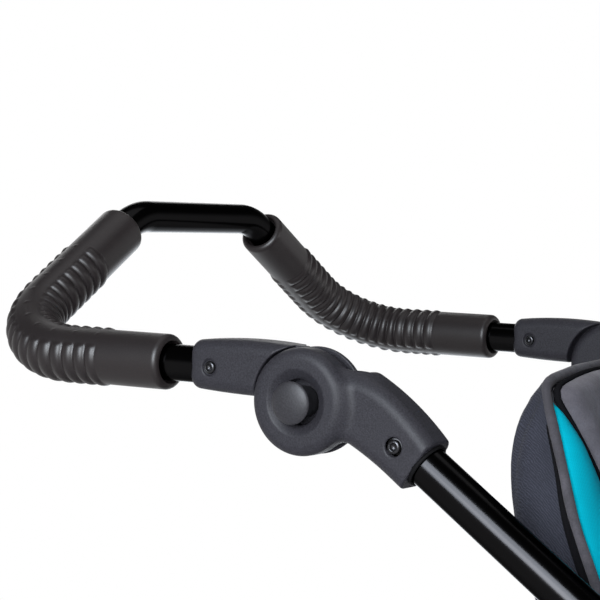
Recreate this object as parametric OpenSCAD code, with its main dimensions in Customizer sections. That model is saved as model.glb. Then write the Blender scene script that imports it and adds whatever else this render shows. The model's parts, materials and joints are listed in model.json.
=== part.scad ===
// Three-wheeled jogging stroller with a tilting padded handle, folding rear legs,
// a reclining seat and a sliding hood. +X points forward, +Y left and +Z up.
// Side pieces are drawn on the left and mirrored to the right.

/* [Overall] */
// Length from the back of the grips to the front of the front tyre
overall_length = 1260; // [1230:5:1290]
// Height of the handle hinge axis above the ground
hinge_height = 930; // [915:1:945]
// Distance between the centre lines of the two main tubes
frame_width = 500; // [490:1:510]

/* [Handlebar] */
// Outside diameter of the handlebar tube
bar_od = 26; // [24:0.2:28]
// Wall of the handlebar tube
bar_wall = 2; // [1.5:0.1:3]
// Reach of the handle arms behind the hinge axis
arm_reach = 274; // [260:1:290]
// Height of the arm axis above the hinge axis, at the hinge
arm_offset = 18; // [16:0.5:20]
// Rise of the arms towards the back, in degrees
arm_rise = 2.2; // [0:0.1:4]
// Height of the upper cross bar above the hinge axis
cross_height = 129; // [120:1:140]
// Half the length of the upper cross bar between its corners
cross_half = 83.4; // [78:0.2:90]
// Bend radius at the lower corners of the handlebar
low_bend = 68; // [60:1:72]
// Bend radius at the upper corners of the handlebar
high_bend = 60; // [50:1:70]

/* [Grips] */
// Diameter of the grips between the ribs
grip_od = 39.5; // [36:0.5:42]
// Height of each rib above the grip
rib_height = 1.3; // [0.5:0.1:2]
// Distance from one rib to the next
rib_pitch = 10.3; // [9:0.1:12]
// Width of each rib
rib_width = 6; // [4:0.5:8]
// Start of the grips behind the hinge axis
grip_start = 117; // [112:1:124]
// Bare slanted tube between the grip and the upper corner
grip_stop = 4; // [1:1:10]
// Plain length at each end of a grip
grip_plain = 50; // [40:1:60]

/* [Hinge] */
// Radius of the round hinge discs
disc_r = 36.4; // [35:0.2:38]
// Face of the outer hinge disc, outboard of the tube centre line
disc_out = 16; // [15:0.5:18]
// Face of the inner hinge disc, inboard of the tube centre line
disc_in = 14; // [13:0.5:16]
// Thickness of the handle tongue between the discs
tongue_t = 10; // [8:0.5:12]
// Radius of the tongue
tongue_r = 33; // [32:0.2:33.8]
// Radius of the boss that the tongue turns on
boss_r = 20; // [19:0.5:21]
// Radius of the hinge button
button_r = 14.6; // [13.5:0.1:15]
// Height of the button's dome beyond the outer disc
button_rise = 7; // [5:0.5:9]
// Travel of the hinge button
button_travel = 6; // [4:0.5:7]
// Radius of the dished ring round the button
dish_r = 22; // [20:0.5:26]
// Depth of the dished ring
dish_depth = 3; // [2:0.5:4]
// End of the handle sleeves behind the hinge axis
arm_sleeve_end = 96; // [92:1:104]
// Place of the handle bolts behind the hinge axis
arm_bolt_at = 74; // [70:1:78]
// End of the frame sleeves along the main tube
frame_sleeve_end = 91; // [86:1:100]
// Place of the frame bolts along the main tube
frame_bolt_at = 73; // [68:1:76]
// Radius of the sleeve bolts
bolt_r = 3; // [2.5:0.5:4]
// Radius of the sleeve bolt heads
bolt_head_r = 6; // [5:0.5:7]

/* [Main frame] */
// Outside diameter of the main tubes
tube_od = 28.6; // [27:0.2:30]
// Wall of the main tubes
tube_wall = 2; // [1.5:0.1:3]
// Slope of the main tubes below level, in degrees
tube_slope = 37.4; // [36.5:0.1:38.5]
// Distance of the main tube axis from the hinge axis
tube_offset = 22.4; // [20:0.2:24]
// Place of the front bend ahead of the hinge axis
bend_at = 640; // [620:5:650]
// Bend radius of the main tubes
tube_bend = 120; // [100:5:130]
// Height at which the two main tubes aim at the steering axis
nose_aim = 367; // [362:1:374]
// Height of the nose block
nose_height = 76; // [70:1:84]
// Radius of the steering stem
stem_r = 10; // [9:0.5:12]

/* [Wheels] */
// Radius of the rear tyres
rear_r = 200; // [195:1:203]
// Radius of the front tyre
front_r = 155; // [150:1:158]
// Section diameter of the tyres
tyre_section = 46; // [42:1:48]
// Distance of each rear wheel's middle plane from the centre plane
rear_track_half = 308; // [304:1:314]
// Place of the rear axle ahead of the hinge axis
rear_axle_at = 60; // [50:1:70]
// Radius of the wheel axles
axle_r = 6; // [5:0.5:7]
// Number of moulded spokes in each wheel
spoke_count = 7; // [7:1:10]
// Distance of the front axle behind the steering axis
trail = 45; // [40:1:50]

/* [Rear legs] */
// Place of the fold brackets on the main tubes ahead of the hinge axis
fold_at = 330; // [320:1:340]
// Distance of the fold pivot below the main tube axis
fold_drop = 38; // [36:1:42]
// Outside diameter of the rear legs
leg_od = 24; // [22:0.5:25]
// Radius of the fold bolts
fold_bolt_r = 5; // [4:0.5:6]

/* [Brake] */
// Outer radius of the notched brake ring
brake_ring_r = 48; // [47:0.5:49]
// Number of notches in the brake ring
notch_count = 12; // [8:4:20]
// Radius of the brake rod
brake_rod_r = 6; // [5:0.5:7]
// Radius of the brake pins
brake_pin_r = 3.5; // [3:0.1:3.8]
// Length of the brake arms
brake_arm = 30; // [29:0.5:31]

/* [Seat] */
// Slope of the backrest from upright, in degrees
back_slope = 18.7; // [17:0.1:20]
// Place of the recline rod ahead of the hinge axis
recline_at = 255; // [250:1:260]
// Height of the recline rod
recline_height = 505; // [500:1:510]
// Radius of the recline rod
recline_r = 5; // [4:0.5:6]
// Width of the backrest
back_width = 349; // [335:1:355]
// Height of the backrest cover
back_height = 430; // [420:1:440]
// Depth of the padding behind the binding
back_bulge = 52; // [44:1:56]
// Width of the seat cushion
seat_width = 344; // [330:2:352]
// Length of the seat cushion
seat_length = 240; // [230:2:246]
// Crown of the seat cushion
seat_crown = 30; // [24:1:34]
// Width of the harness webbing
webbing = 25; // [20:1:30]

/* [Hood] */
// Place of the hood pivot ahead of the hinge axis
hood_at = 238; // [234:1:244]
// Radius of the rear hood panel
hood_r = 310; // [300:1:316]
// Half width of the rear hood panel
hood_half = 205; // [200:1:208]
// Thickness of the hood cloth
hood_cloth = 2.5; // [2:0.1:3]
// Diameter of the hood bows
bow_od = 8; // [7:0.5:8]

/* [Basket] */
// Height of the basket rim
basket_top = 380; // [370:1:390]
// Depth of the basket
basket_depth = 150; // [130:1:152]
// Wall of the basket cloth
basket_wall = 3; // [2.5:0.5:4]

/* [Clearances] */
// Gap at a fixed fit
fit = 0.15; // [0.1:0.05:0.3]
// Radial gap at a turning fit
turn = 0.05; // [0.03:0.01:0.1]
// Gap between pieces that move past each other
run = 0.3; // [0.3:0.05:0.5]

/* [Hidden] */
$fn = 64;
hull_fn = 32;
big = 1000;
core_skin = 0.25;
core_reach = 2;
core_seam = 0.01;

// Main places in the part's frame
half_width = frame_width / 2;
handle_back = arm_reach + grip_od / 2 + rib_height;
hinge_x = handle_back - overall_length / 2;
front_axle_x = overall_length / 2 - front_r;
steer_x = front_axle_x + trail;
tube_dir = [cos(tube_slope), 0, -sin(tube_slope)];
tube_up = [sin(tube_slope), 0, cos(tube_slope)];
hinge = [hinge_x, half_width, hinge_height];
tube_foot = hinge + tube_offset * tube_up;
nose = [steer_x, 0, nose_aim];
bend_point = tube_point(bend_at);
nose_dir = unit(nose - bend_point);
nose_gap = 36;
tube_tail = tongue_r + 5;

// Handlebar route
arm_tube_start = 50;
arm_head = arm_point(arm_tube_start);
low_corner = arm_point(arm_reach);
high_corner = [hinge_x - arm_reach, cross_half, hinge_height + cross_height];
slant_dir = unit(high_corner - low_corner);
arm_dir = unit(low_corner - arm_head);

// Hinge stack, measured outboard from the tube centre line
slot_half = tongue_t / 2 + run;
knuckle_cut = disc_r + 2.1;
sleeve_half = 17;
sleeve_round = 9;
bolt_sink = 1.8;
bolt_recess = 0.4;
arm_end_half = 15.5;
arm_root_half = 18.7;
frame_end_half = 20.5;
frame_root_half = 23;
frame_sleeve_lift = 1.2;
pocket_top = 8.3;
gear_low = 1;
gear_high = 8;
spring_block = 4;
pocket_floor = gear_low - button_travel - spring_block;
gear_r = button_r + 0.8;
gear_teeth = 10;
pocket_r = gear_r + 2 * run;
dome_r = 26;
spring_wall = 2;

// Wheels and fork
section_r = tyre_section / 2;
hub_half = 28;
fork_y = section_r + 13;
drop_in = section_r + 7;
dropout_t = 14.4;
drop_out = drop_in + dropout_t;
blade_r = 8;
crown_low = 2 * front_r + 8;
crown_high = crown_low + 24;
plate_t = 8;
plate_r = 42;
lock_reach = 32;
lock_pin_r = 4;
lock_lift = 1.5;
lock_travel = 8;
nose_low = crown_high + 4;
nose_high = nose_low + nose_height;

// Rear legs and brake
fold_point = tube_point(fold_at) - fold_drop * tube_up;
rear_axle_c = [hinge_x + rear_axle_at, 0, rear_r];
leg_top = [fold_point[0], half_width, fold_point[2]];
leg_low = [rear_axle_c[0], half_width, rear_axle_c[2]];
leg_dir = unit(leg_low - leg_top);
leg_boss_half = 13;
cheek_in = leg_boss_half + run;
cheek_t = 4;
plate_waist = 0.92;
block_half = 14;
leg_gap = 24;
axle_seat_r = 8;
beam_r = 11;
lever_t = 8;
brake_rod_back = 50;
brake_rod_up = 30;
brake_rod_c = rear_axle_c + [-brake_rod_back, 0, brake_rod_up];
brake_rest = 12;
pawl_t = 4;
pawl_y = half_width + block_half + 0.5;
brake_ring_y = pawl_y + pawl_t + 1.5;
brake_ring_t = 9;
hub_in = brake_ring_y + brake_ring_t;
hub_out = rear_track_half + hub_half;

// Seat places
recline = [hinge_x + recline_at, 0, recline_height];
back_up = [-sin(back_slope), 0, cos(back_slope)];
back_front = [cos(back_slope), 0, sin(back_slope)];
rim_ahead = 21;
back_low = 26;
back_corner = 0.05;
rear_bar_ahead = 30;
rear_bar_drop = 27;
bar_gap = 230;
bar_climb = 30;
rear_bar = recline + [rear_bar_ahead, 0, -rear_bar_drop];
front_bar = rear_bar + [bar_gap, 0, bar_climb];
bar_r = 9;
seat_dir = unit(front_bar - rear_bar);
seat_up = [-seat_dir[2], 0, seat_dir[0]];
seat_rear = 12;
seat_edge = 6;
hanger_y = half_width - 25;
hanger_t = 6;
clamp_od = tube_od + 9;
rear_hanger_at = 290;
front_hanger_at = 515;
belt_t = 2;
cloth_t = 2.4;

// Hood: each panel nests inside the one behind it
hood_c = tube_point(hood_at);
hood_step = hood_cloth + bow_od + 1;
hood_pin_r = 6;
hood_corner = 70;
hood_angles = [[62, 95], [33, 64], [4, 35]];
bow_angles = [94, 34.2, 5.2];

// Basket and footrest
basket_ahead = 315;
basket_mid = [hinge_x + basket_ahead, 0, 0];
basket_half = [180, 212];
basket_floor = basket_top - basket_depth;
foot_bar_r = 8;
foot_gap = 165;
foot_x = steer_x - foot_gap;
foot_low = 2 * front_r + 16;
foot_plate = 6;
foot_sink = 2;
foot_top = foot_low + foot_bar_r - foot_sink + foot_plate;
foot_half = 130;
foot_length = 130;

function unit(v) = v / norm(v);
// Point of the left main tube's axis at a distance ahead of the hinge
function tube_point(ahead) = [hinge_x + ahead, half_width,
  hinge_height + tube_offset / cos(tube_slope) - ahead * tan(tube_slope)];
// Point of the left handle arm's axis at a distance behind the hinge
function arm_point(behind) = [hinge_x - behind, half_width,
  hinge_height + arm_offset + behind * tan(arm_rise)];
// Point of the left main tube's front run at a given place ahead of the hinge
function front_run(x) = bend_point + nose_dir * ((x - bend_point[0]) / nose_dir[0]);
function flip(p) = [p[0], -p[1], p[2]];
function bump(d, w) = exp(-(d / w) * (d / w));

// Helpers
module on_side(side) {
  if (side > 0) children();
  else mirror([0, 1, 0]) children();
}

module both_sides() {
  children();
  mirror([0, 1, 0]) children();
}

// Stands children, drawn along +Z, on the line from a to b
module along(a, d) {
  u = unit(d);
  translate(a) rotate([0, acos(u[2]), atan2(u[1], u[0])]) children();
}

module rod(a, b, r) {
  along(a, b - a) cylinder(h = norm(b - a), r = r);
}

module pipe(a, b, od, id) {
  along(a, b - a) linear_extrude(norm(b - a)) ring(od, id);
}

module ring(od, id) {
  difference() {
    circle(d = od);
    if (id > 0) circle(d = id);
  }
}

// Arc of a bent tube: d1 and d2 are the directions before and after the corner
module bend(corner, d1, d2, radius, od, id, from, sweep) {
  inward = unit(d2 - d1 * (d1 * d2));
  axis = cross(d1, inward);
  centre = corner - d1 * (radius * tan(acos(d1 * d2) / 2)) + inward * radius;
  multmatrix([
    [-inward[0], d1[0], axis[0], centre[0]],
    [-inward[1], d1[1], axis[1], centre[1]],
    [-inward[2], d1[2], axis[2], centre[2]],
    [0, 0, 0, 1]
  ]) rotate([0, 0, from]) rotate_extrude(angle = sweep) translate([radius, 0]) ring(od, id);
}

// Bent tube through a list of corners, each with its own bend radius. A short core inside
// the wall carries each straight run into its bend.
module tube_path(points, radii, od, id) {
  last = len(points) - 1;
  dirs = [for (i = [0:last - 1]) unit(points[i + 1] - points[i])];
  turns = [for (i = [1:last - 1]) acos(dirs[i - 1] * dirs[i])];
  cut = [for (i = [0:last]) i == 0 || i == last ? 0 : radii[i - 1] * tan(turns[i - 1] / 2)];
  core_id = id > 0 ? id + 2 * core_skin : 0;
  for (i = [0:last - 1]) {
    a = points[i] + dirs[i] * cut[i];
    b = points[i + 1] - dirs[i] * cut[i + 1];
    pipe(a, b, od, id);
    core = dirs[i] * core_reach;
    if (i > 0) pipe(a - core, a + core, od - 2 * core_skin, core_id);
    if (i < last - 1) pipe(b - core, b + core, od - 2 * core_skin, core_id);
  }
  for (i = [1:last - 1]) {
    trim = core_seam / radii[i - 1] * 180 / PI;
    bend(points[i], dirs[i - 1], dirs[i], radii[i - 1], od, id, trim, turns[i - 1] - 2 * trim);
  }
}

// Cylinder along Y from y0 to y1 through the point c
module across(c, y0, y1, r) {
  translate([c[0], y0, c[2]]) rotate([-90, 0, 0]) cylinder(h = y1 - y0, r = r);
}

// Closed sheet over a grid of points, thickened by the vector t
module sheet(rows, t) {
  m = len(rows);
  n = len(rows[0]);
  face = [for (row = rows, p = row) p];
  all_points = concat(face, [for (p = face) p + t]);
  s = m * n;
  outward = cross(rows[0][1] - rows[0][0], rows[1][0] - rows[0][0]) * t > 0;
  quads = concat(
    [for (i = [0:m - 2], j = [0:n - 2])
      [i * n + j, i * n + j + 1, (i + 1) * n + j + 1, (i + 1) * n + j]],
    [for (i = [0:m - 2], j = [0:n - 2])
      [s + i * n + j, s + (i + 1) * n + j, s + (i + 1) * n + j + 1, s + i * n + j + 1]],
    [for (j = [0:n - 2]) [j, s + j, s + j + 1, j + 1]],
    [for (j = [0:n - 2], k = (m - 1) * n) [k + j, k + j + 1, s + k + j + 1, s + k + j]],
    [for (i = [0:m - 2]) [i * n, (i + 1) * n, s + (i + 1) * n, s + i * n]],
    [for (i = [0:m - 2], k = n - 1)
      [i * n + k, s + i * n + k, s + (i + 1) * n + k, (i + 1) * n + k]]);
  polyhedron(all_points, [for (q = quads, h = [[q[0], q[1], q[2]], [q[0], q[2], q[3]]])
    outward ? h : [h[2], h[1], h[0]]]);
}

// Closed skin through a stack of rings with flat ends
module loft(rings) {
  m = len(rings);
  n = len(rings[0]);
  walls = [for (i = [0:m - 2], j = [0:n - 1], k = (j + 1) % n)
    each [[i * n + j, (i + 1) * n + j, (i + 1) * n + k], [i * n + j, (i + 1) * n + k, i * n + k]]];
  low = [for (j = [1:n - 2]) [0, j, j + 1]];
  high = [for (j = [1:n - 2], s = (m - 1) * n) [s, s + j + 1, s + j]];
  polyhedron([for (r = rings, p = r) p], concat(walls, low, high));
}

// Padded form on the local XY plane. The outline is a rectangle with round corners whose
// sides draw in between the corners; front and back give the padding on +Z and -Z.
function pad_x(size, corner, draw, u, v) =
  size[0] / 2 * u * sqrt(1 - corner * v * v) * (1 - draw * (1 - v * v));
function pad_y(size, corner, draw, arch, u, v) =
  size[1] / 2 * v * sqrt(1 - corner * u * u) * (1 - draw * (1 - u * u))
  + arch * (1 - u * u) * (v + 1) / 2;
function crown(u, v) = pow((1 - pow(abs(u), 4)) * (1 - pow(abs(v), 4)), 0.6);
function channel(v, lines, depth) =
  1 - depth * (len(lines) == 0 ? 0 : max([for (c = lines) bump(v - c, 0.06)]));

module pad(size, edge, front, back, corner, draw, arch, lines, n, m) {
  at = function(u, v, z) [pad_x(size, corner, draw, u, v), pad_y(size, corner, draw, arch, u, v), z];
  us = [for (i = [0:n]) 2 * i / n - 1];
  vs = [for (j = [0:m]) 2 * j / m - 1];
  top = [for (v = vs) [for (u = us)
    at(u, v, edge / 2 + front * crown(u, v) * channel(v, lines, 0.3))]];
  low = [for (v = vs) [for (u = us) at(u, v, -edge / 2 - back * crown(u, v))]];
  w = n + 1;
  s = w * (m + 1);
  cells = [for (j = [0:m - 1], i = [0:n - 1]) j * w + i];
  rim = concat([for (i = [0:n - 1]) i], [for (j = [0:m - 1]) j * w + n],
    [for (i = [n:-1:1]) m * w + i], [for (j = [m:-1:1]) j * w]);
  polyhedron(
    concat([for (r = top, p = r) p], [for (r = low, p = r) p]),
    concat(
      [for (c = cells) each [[c, c + w, c + w + 1], [c, c + w + 1, c + 1]]],
      [for (c = cells) each [[s + c, s + c + w + 1, s + c + w], [s + c, s + c + 1, s + c + w + 1]]],
      [for (k = [0:len(rim) - 1], a = rim[k], b = rim[(k + 1) % len(rim)])
        each [[a, b, s + b], [a, s + b, s + a]]]));
}

// Places of the seat surfaces
module on_seat() {
  place(rear_bar + seat_up * (bar_r + run + seat_edge / 2)
    + seat_dir * (seat_rear + seat_length / 2), seat_dir, seat_up) children();
}

module on_back() {
  place(recline + back_front * rim_ahead + back_up * (back_low + back_height / 2),
    back_up, back_front) children();
}

// Local X lies along +Y of the part, local Y along up_dir and local Z along out_dir
module place(c, up_dir, out_dir) {
  side = cross(up_dir, out_dir);
  multmatrix([
    [side[0], up_dir[0], out_dir[0], c[0]],
    [side[1], up_dir[1], out_dir[1], c[1]],
    [side[2], up_dir[2], out_dir[2], c[2]],
    [0, 0, 0, 1]
  ]) children();
}

back_size = [back_width, back_height];
seat_size = [seat_width, seat_length];
back_edge = 8;
back_crown = 14;
back_arch = 17;
back_lines = [-0.45, 0.05];
seat_lines = [-0.3, 0.3];
seat_corner = 0.2;
seat_draw = 0.03;
back_draw = 0.015;
// Handlebar, its grips and its knuckles
module handlebar_tube() {
  left = [arm_head, low_corner, high_corner];
  right = [flip(high_corner), flip(low_corner), flip(arm_head)];
  color("#0b0a0b") difference() {
    tube_path(concat(left, right), [low_bend, high_bend, high_bend, low_bend],
      bar_od, bar_od - 2 * bar_wall);
    both_sides() across(arm_point(arm_bolt_at), half_width - big / 10, half_width + big / 10,
      bolt_r + fit);
  }
}

module grip(side) {
  head = arm_point(grip_start);
  tail = high_corner - slant_dir * (grip_stop + high_bend * tan(acos(slant_dir * [0, -1, 0]) / 2));
  bore = bar_od + 2 * fit;
  corner_cut = low_bend * tan(acos(arm_dir * slant_dir) / 2);
  arc = low_bend * acos(arm_dir * slant_dir) * PI / 180;
  first = norm(low_corner - head) - corner_cut;
  total = first + arc + norm(tail - low_corner) - corner_cut;
  count = floor((total - 2 * grip_plain) / rib_pitch);
  start = (total - (count - 1) * rib_pitch) / 2;
  rib_od = grip_od + 2 * rib_height;
  rib_id = grip_od - 4;
  color("#4a464d") on_side(side) {
    tube_path([head, low_corner, tail], [low_bend], grip_od, bore);
    for (k = [0:count - 1]) {
      s = start + k * rib_pitch;
      a = s - rib_width / 2;
      b = s + rib_width / 2;
      if (b < first)
        pipe(head + arm_dir * a, head + arm_dir * b, rib_od, rib_id);
      else if (a > first + arc)
        pipe(tail - slant_dir * (total - a), tail - slant_dir * (total - b), rib_od, rib_id);
      else if (a >= first && b <= first + arc)
        bend(low_corner, arm_dir, slant_dir, low_bend, rib_od, rib_id,
          (a - first) / low_bend * 180 / PI, rib_width / low_bend * 180 / PI);
    }
  }
}

// Rounded sleeve along local X between two cross sections, each with its own half height
module sleeve(x0, half0, x1, half1) {
  hull() for (e = [[x0, half0], [x1, half1]], v = [-1, 1], w = [-1, 1])
    translate([e[0], v * (sleeve_half - sleeve_round), w * (e[1] - sleeve_round)])
      sphere(r = sleeve_round, $fn = hull_fn);
}

// Bolt hole with a sunk seat for the head on both sides
module bolt_seat(c) {
  across(c, half_width - 3 * sleeve_half, half_width + 3 * sleeve_half, bolt_r + fit);
  for (v = [-1, 1])
    translate([c[0], half_width + v * (sleeve_half - bolt_sink + big / 20), c[2]])
      rotate([90, 0, 0]) cylinder(h = big / 10, r = bolt_head_r + 2 * fit, center = true);
}

module handle_knuckle(side) {
  color("#4a4a52") on_side(side) difference() {
    union() {
      difference() {
        translate(arm_point(0)) rotate([0, arm_rise, 0])
          sleeve(sleeve_round - arm_sleeve_end, arm_end_half, 4 - tongue_r, arm_root_half);
        for (v = [slot_half - run, -big / 10])
          across(hinge, half_width + v, half_width + v + big / 10 - slot_half + run, knuckle_cut);
      }
      across(hinge, half_width - tongue_t / 2, half_width + tongue_t / 2, tongue_r);
    }
    across(hinge, 0, big, boss_r + turn);
    rod(arm_point(arm_tube_start), arm_point(2 * arm_sleeve_end), bar_od / 2 + fit);
    bolt_seat(arm_point(arm_bolt_at));
  }
}

// Through bolt with a socket head at both ends
module bolt(c) {
  head_t = bolt_sink - bolt_recess;
  head_end = sleeve_half - bolt_recess;
  difference() {
    union() {
      across(c, half_width - head_end, half_width + head_end, bolt_r);
      across(c, half_width - head_end, half_width - head_end + head_t, bolt_head_r);
      across(c, half_width + head_end - head_t, half_width + head_end, bolt_head_r);
    }
    for (v = [-1, 1]) translate([c[0], half_width + v * head_end, c[2]]) rotate([90, 0, 0])
      cylinder(h = bolt_sink, r = bolt_r, center = true, $fn = 6);
  }
}

module handle_bolts() {
  color("#303036") both_sides() bolt(arm_point(arm_bolt_at));
}

module frame_bolts() {
  color("#303036") both_sides() bolt(tube_foot + tube_dir * frame_bolt_at);
}

module frame_knuckle(side) {
  root_at = 30;
  color("#4a4a52") on_side(side) difference() {
    union() {
      difference() {
        union() {
          across(hinge, half_width - disc_in, half_width + disc_out, disc_r);
          translate(tube_foot + tube_up * frame_sleeve_lift) rotate([0, tube_slope, 0])
            sleeve(root_at, frame_root_half, frame_sleeve_end - sleeve_round, frame_end_half);
        }
        across(hinge, half_width - slot_half, half_width + slot_half, disc_r + 2 * run);
      }
      across(hinge, half_width - disc_in, half_width + slot_half + 1, boss_r);
    }
    across(hinge, half_width + pocket_floor, half_width + pocket_top, pocket_r);
    across(hinge, half_width, half_width + big, button_r + run);
    across(hinge, half_width + disc_out - dish_depth, half_width + big, dish_r);
    rod(tube_foot + tube_dir * tube_tail, tube_foot + tube_dir * big / 2, tube_od / 2 + fit);
    bolt_seat(tube_foot + tube_dir * frame_bolt_at);
  }
}

module hinge_button(side) {
  top = disc_out + button_rise;
  color("#3c3c44") on_side(side) intersection() {
    across(hinge, half_width + gear_high, half_width + top, button_r);
    translate([hinge[0], half_width + top - dome_r, hinge[2]]) sphere(r = dome_r, $fn = 96);
  }
}

module lock_gear(side) {
  tooth = 4;
  color("silver") on_side(side) translate([hinge[0], half_width + gear_low, hinge[2]])
    rotate([-90, 0, 0]) linear_extrude(gear_high - gear_low) {
      circle(r = gear_r - 2.4);
      for (k = [0:gear_teeth - 1]) rotate(k * 360 / gear_teeth)
        translate([gear_r - 4, -tooth / 2]) square([4, tooth]);
    }
}

module hinge_spring(side) {
  r = gear_r - 4;
  color("gray") on_side(side) difference() {
    across(hinge, half_width + pocket_floor, half_width + gear_low, r);
    across(hinge, half_width - big, half_width + big, r - spring_wall);
  }
}

// Main frame
module main_tube(side) {
  color("#0b0a0b") on_side(side) difference() {
    tube_path([tube_foot + tube_dir * tube_tail, bend_point, nose - nose_dir * nose_gap],
      [tube_bend], tube_od, tube_od - 2 * tube_wall);
    across(tube_foot + tube_dir * frame_bolt_at, half_width - tube_od, half_width + tube_od,
      bolt_r + fit);
  }
}

module nose_block() {
  socket_r = tube_od / 2 + 5;
  socket_end = 95;
  body_r = 25;
  boss_r2 = lock_pin_r + 6;
  lock = [steer_x + lock_reach, 0, nose_low];
  color("#4a4a52") difference() {
    union() {
      translate([steer_x, 0, nose_low]) cylinder(h = nose_height, r = body_r);
      both_sides() rod(nose, nose - nose_dir * socket_end, socket_r);
      translate(lock) cylinder(h = nose_height, r = boss_r2);
      translate([steer_x, -boss_r2, nose_low]) cube([lock_reach, 2 * boss_r2, nose_height]);
    }
    translate([steer_x, 0, 0]) cylinder(h = big, r = stem_r + turn);
    translate([lock[0], 0, 0]) cylinder(h = big, r = lock_pin_r + turn);
    both_sides() rod(nose - nose_dir * nose_gap, nose - nose_dir * big / 3, tube_od / 2 + fit);
    translate([steer_x - big / 2, -big / 2, nose_low - big / 2]) cube([big, big, big / 2]);
  }
}

// Clamp ring round the main tube
module tube_clamp(ahead, length) {
  c = tube_point(ahead);
  rod(c - tube_dir * length / 2, c + tube_dir * length / 2, clamp_od / 2);
}

module tube_clearance() {
  rod(tube_foot, bend_point, tube_od / 2 + fit);
}

// Flat plate standing in the XZ plane around two or more round ends, each with its radius
module plate(points, radii, y, t) {
  translate([0, y + t, 0]) rotate([90, 0, 0]) linear_extrude(t) {
    for (i = [0:len(points) - 1]) translate([points[i][0], points[i][2]]) circle(r = radii[i]);
    for (i = [0:len(points) - 2]) {
      d = points[i + 1] - points[i];
      w = plate_waist * min(radii[i], radii[i + 1]);
      translate([points[i][0], points[i][2]]) rotate(atan2(d[2], d[0])) translate([0, -w])
        square([norm([d[0], d[2]]), 2 * w]);
    }
  }
}

module seat_hangers() {
  r = 12;
  clamp_l = 26;
  bush = 10;
  y = hanger_y - hanger_t / 2;
  color("#26262a") both_sides() {
    difference() {
      union() {
        tube_clamp(rear_hanger_at, clamp_l);
        across(tube_point(rear_hanger_at), y, half_width, bush);
        plate([tube_point(rear_hanger_at), rear_bar, recline], [r, r, r], y, hanger_t);
      }
      tube_clearance();
      across(rear_bar, 0, big, bar_r + fit);
      across(recline, 0, big, recline_r + fit);
    }
    difference() {
      union() {
        tube_clamp(front_hanger_at, clamp_l);
        across(tube_point(front_hanger_at), y, half_width, bush);
        plate([tube_point(front_hanger_at), front_bar], [r, r], y, hanger_t);
      }
      tube_clearance();
      across(front_bar, 0, big, bar_r + fit);
    }
  }
}

module seat_bars() {
  reach = hanger_y + hanger_t / 2 + 1;
  color("#1a1a1c") {
    for (c = [rear_bar, front_bar]) difference() {
      across(c, -reach, reach, bar_r);
      across(c, -big, big, bar_r - tube_wall);
    }
    across(recline, -reach, reach, recline_r);
  }
}

module seat_cushion() {
  color("#00adc8") on_seat()
    pad(seat_size, seat_edge, seat_crown, 0, seat_corner, seat_draw, 0, seat_lines, 20, 18);
}

// Strip of webbing on a pad: uv lists its centre line, face gives the pad's height
module strip(uv, half_w, t, size, corner, draw, arch, face) {
  rows = [for (p = uv) [for (s = [-1, 1], u = p[0] + s * 2 * half_w * p[2] / size[0],
      v = p[1] + s * 2 * half_w * p[3] / size[1])
    [pad_x(size, corner, draw, u, v), pad_y(size, corner, draw, arch, u, v), face(u, v)]]];
  sheet(rows, [0, 0, t]);
}

seat_top = function(u, v) seat_edge / 2 + seat_crown * crown(u, v) + run;

module lap_belts() {
  steps = 8;
  lap_face = function(u, v) seat_top(u, v) + run;
  color("#1d1d20") on_seat() {
    for (m = [0, 1]) mirror([m, 0, 0])
      strip([for (k = [0:steps]) [0.78 - 0.5 * k / steps, -0.7 + 0.55 * k / steps, 0.66, 0.75]],
        webbing / 2, belt_t, seat_size, seat_corner, seat_draw, 0, lap_face);
    strip([for (k = [0:3]) [0, 0.12 + 0.5 * k / 3, 1, 0]],
      webbing / 2, belt_t, seat_size, seat_corner, seat_draw, 0, lap_face);
  }
}

buckle_v = -0.05;
buckle_t = 14;
buckle_w = 46;
buckle_l = 36;
buckle_floor = 5;
buckle_press_r = 9;
module buckle_seat() {
  on_seat() translate([0, pad_y(seat_size, seat_corner, seat_draw, 0, 0, buckle_v), seat_top(0, 0)])
    children();
}

module buckle() {
  color("#161618") buckle_seat() difference() {
    union() {
      translate([-buckle_w / 2, -buckle_l / 2, run]) cube([buckle_w, buckle_l, buckle_t]);
      for (s = [-1, 1]) translate([s * buckle_w / 2, 0, run])
        cylinder(h = buckle_t, r = buckle_l / 2 - 4);
    }
    translate([0, 0, run + buckle_floor]) cylinder(h = buckle_t, r = buckle_press_r + run);
  }
}

module buckle_button() {
  travel_gap = 4;
  stand = 2;
  color("#b0222a") buckle_seat() translate([0, 0, run + buckle_floor + travel_gap])
    cylinder(h = buckle_t - buckle_floor - travel_gap + stand, r = buckle_press_r);
}

// Cloth between the main tube and the seat edge, with a few soft folds
module side_panels() {
  cols = 12;
  rows = 6;
  x0 = 352;
  x1 = 498;
  fold = 4;
  top_gap = 2;
  color("#474a57") both_sides() sheet([for (j = [0:rows]) [for (i = [0:cols])
    let (x = x0 + (x1 - x0) * i / cols, f = j / rows, z1 = tube_point(x)[2] - tube_od / 2,
      c = rear_bar + seat_dir * ((hinge_x + x - rear_bar[0]) / seat_dir[0]) + seat_up * (bar_r + 4))
    [hinge_x + x,
      (half_width - 10) * f + (seat_width / 2 + 6) * (1 - f) - 14 * sin(180 * f)
        + fold * sin(180 * f) * sin(900 * i / cols),
      c[2] * (1 - f) + (z1 - top_gap) * f]]], [0, cloth_t, 0]);
}

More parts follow.
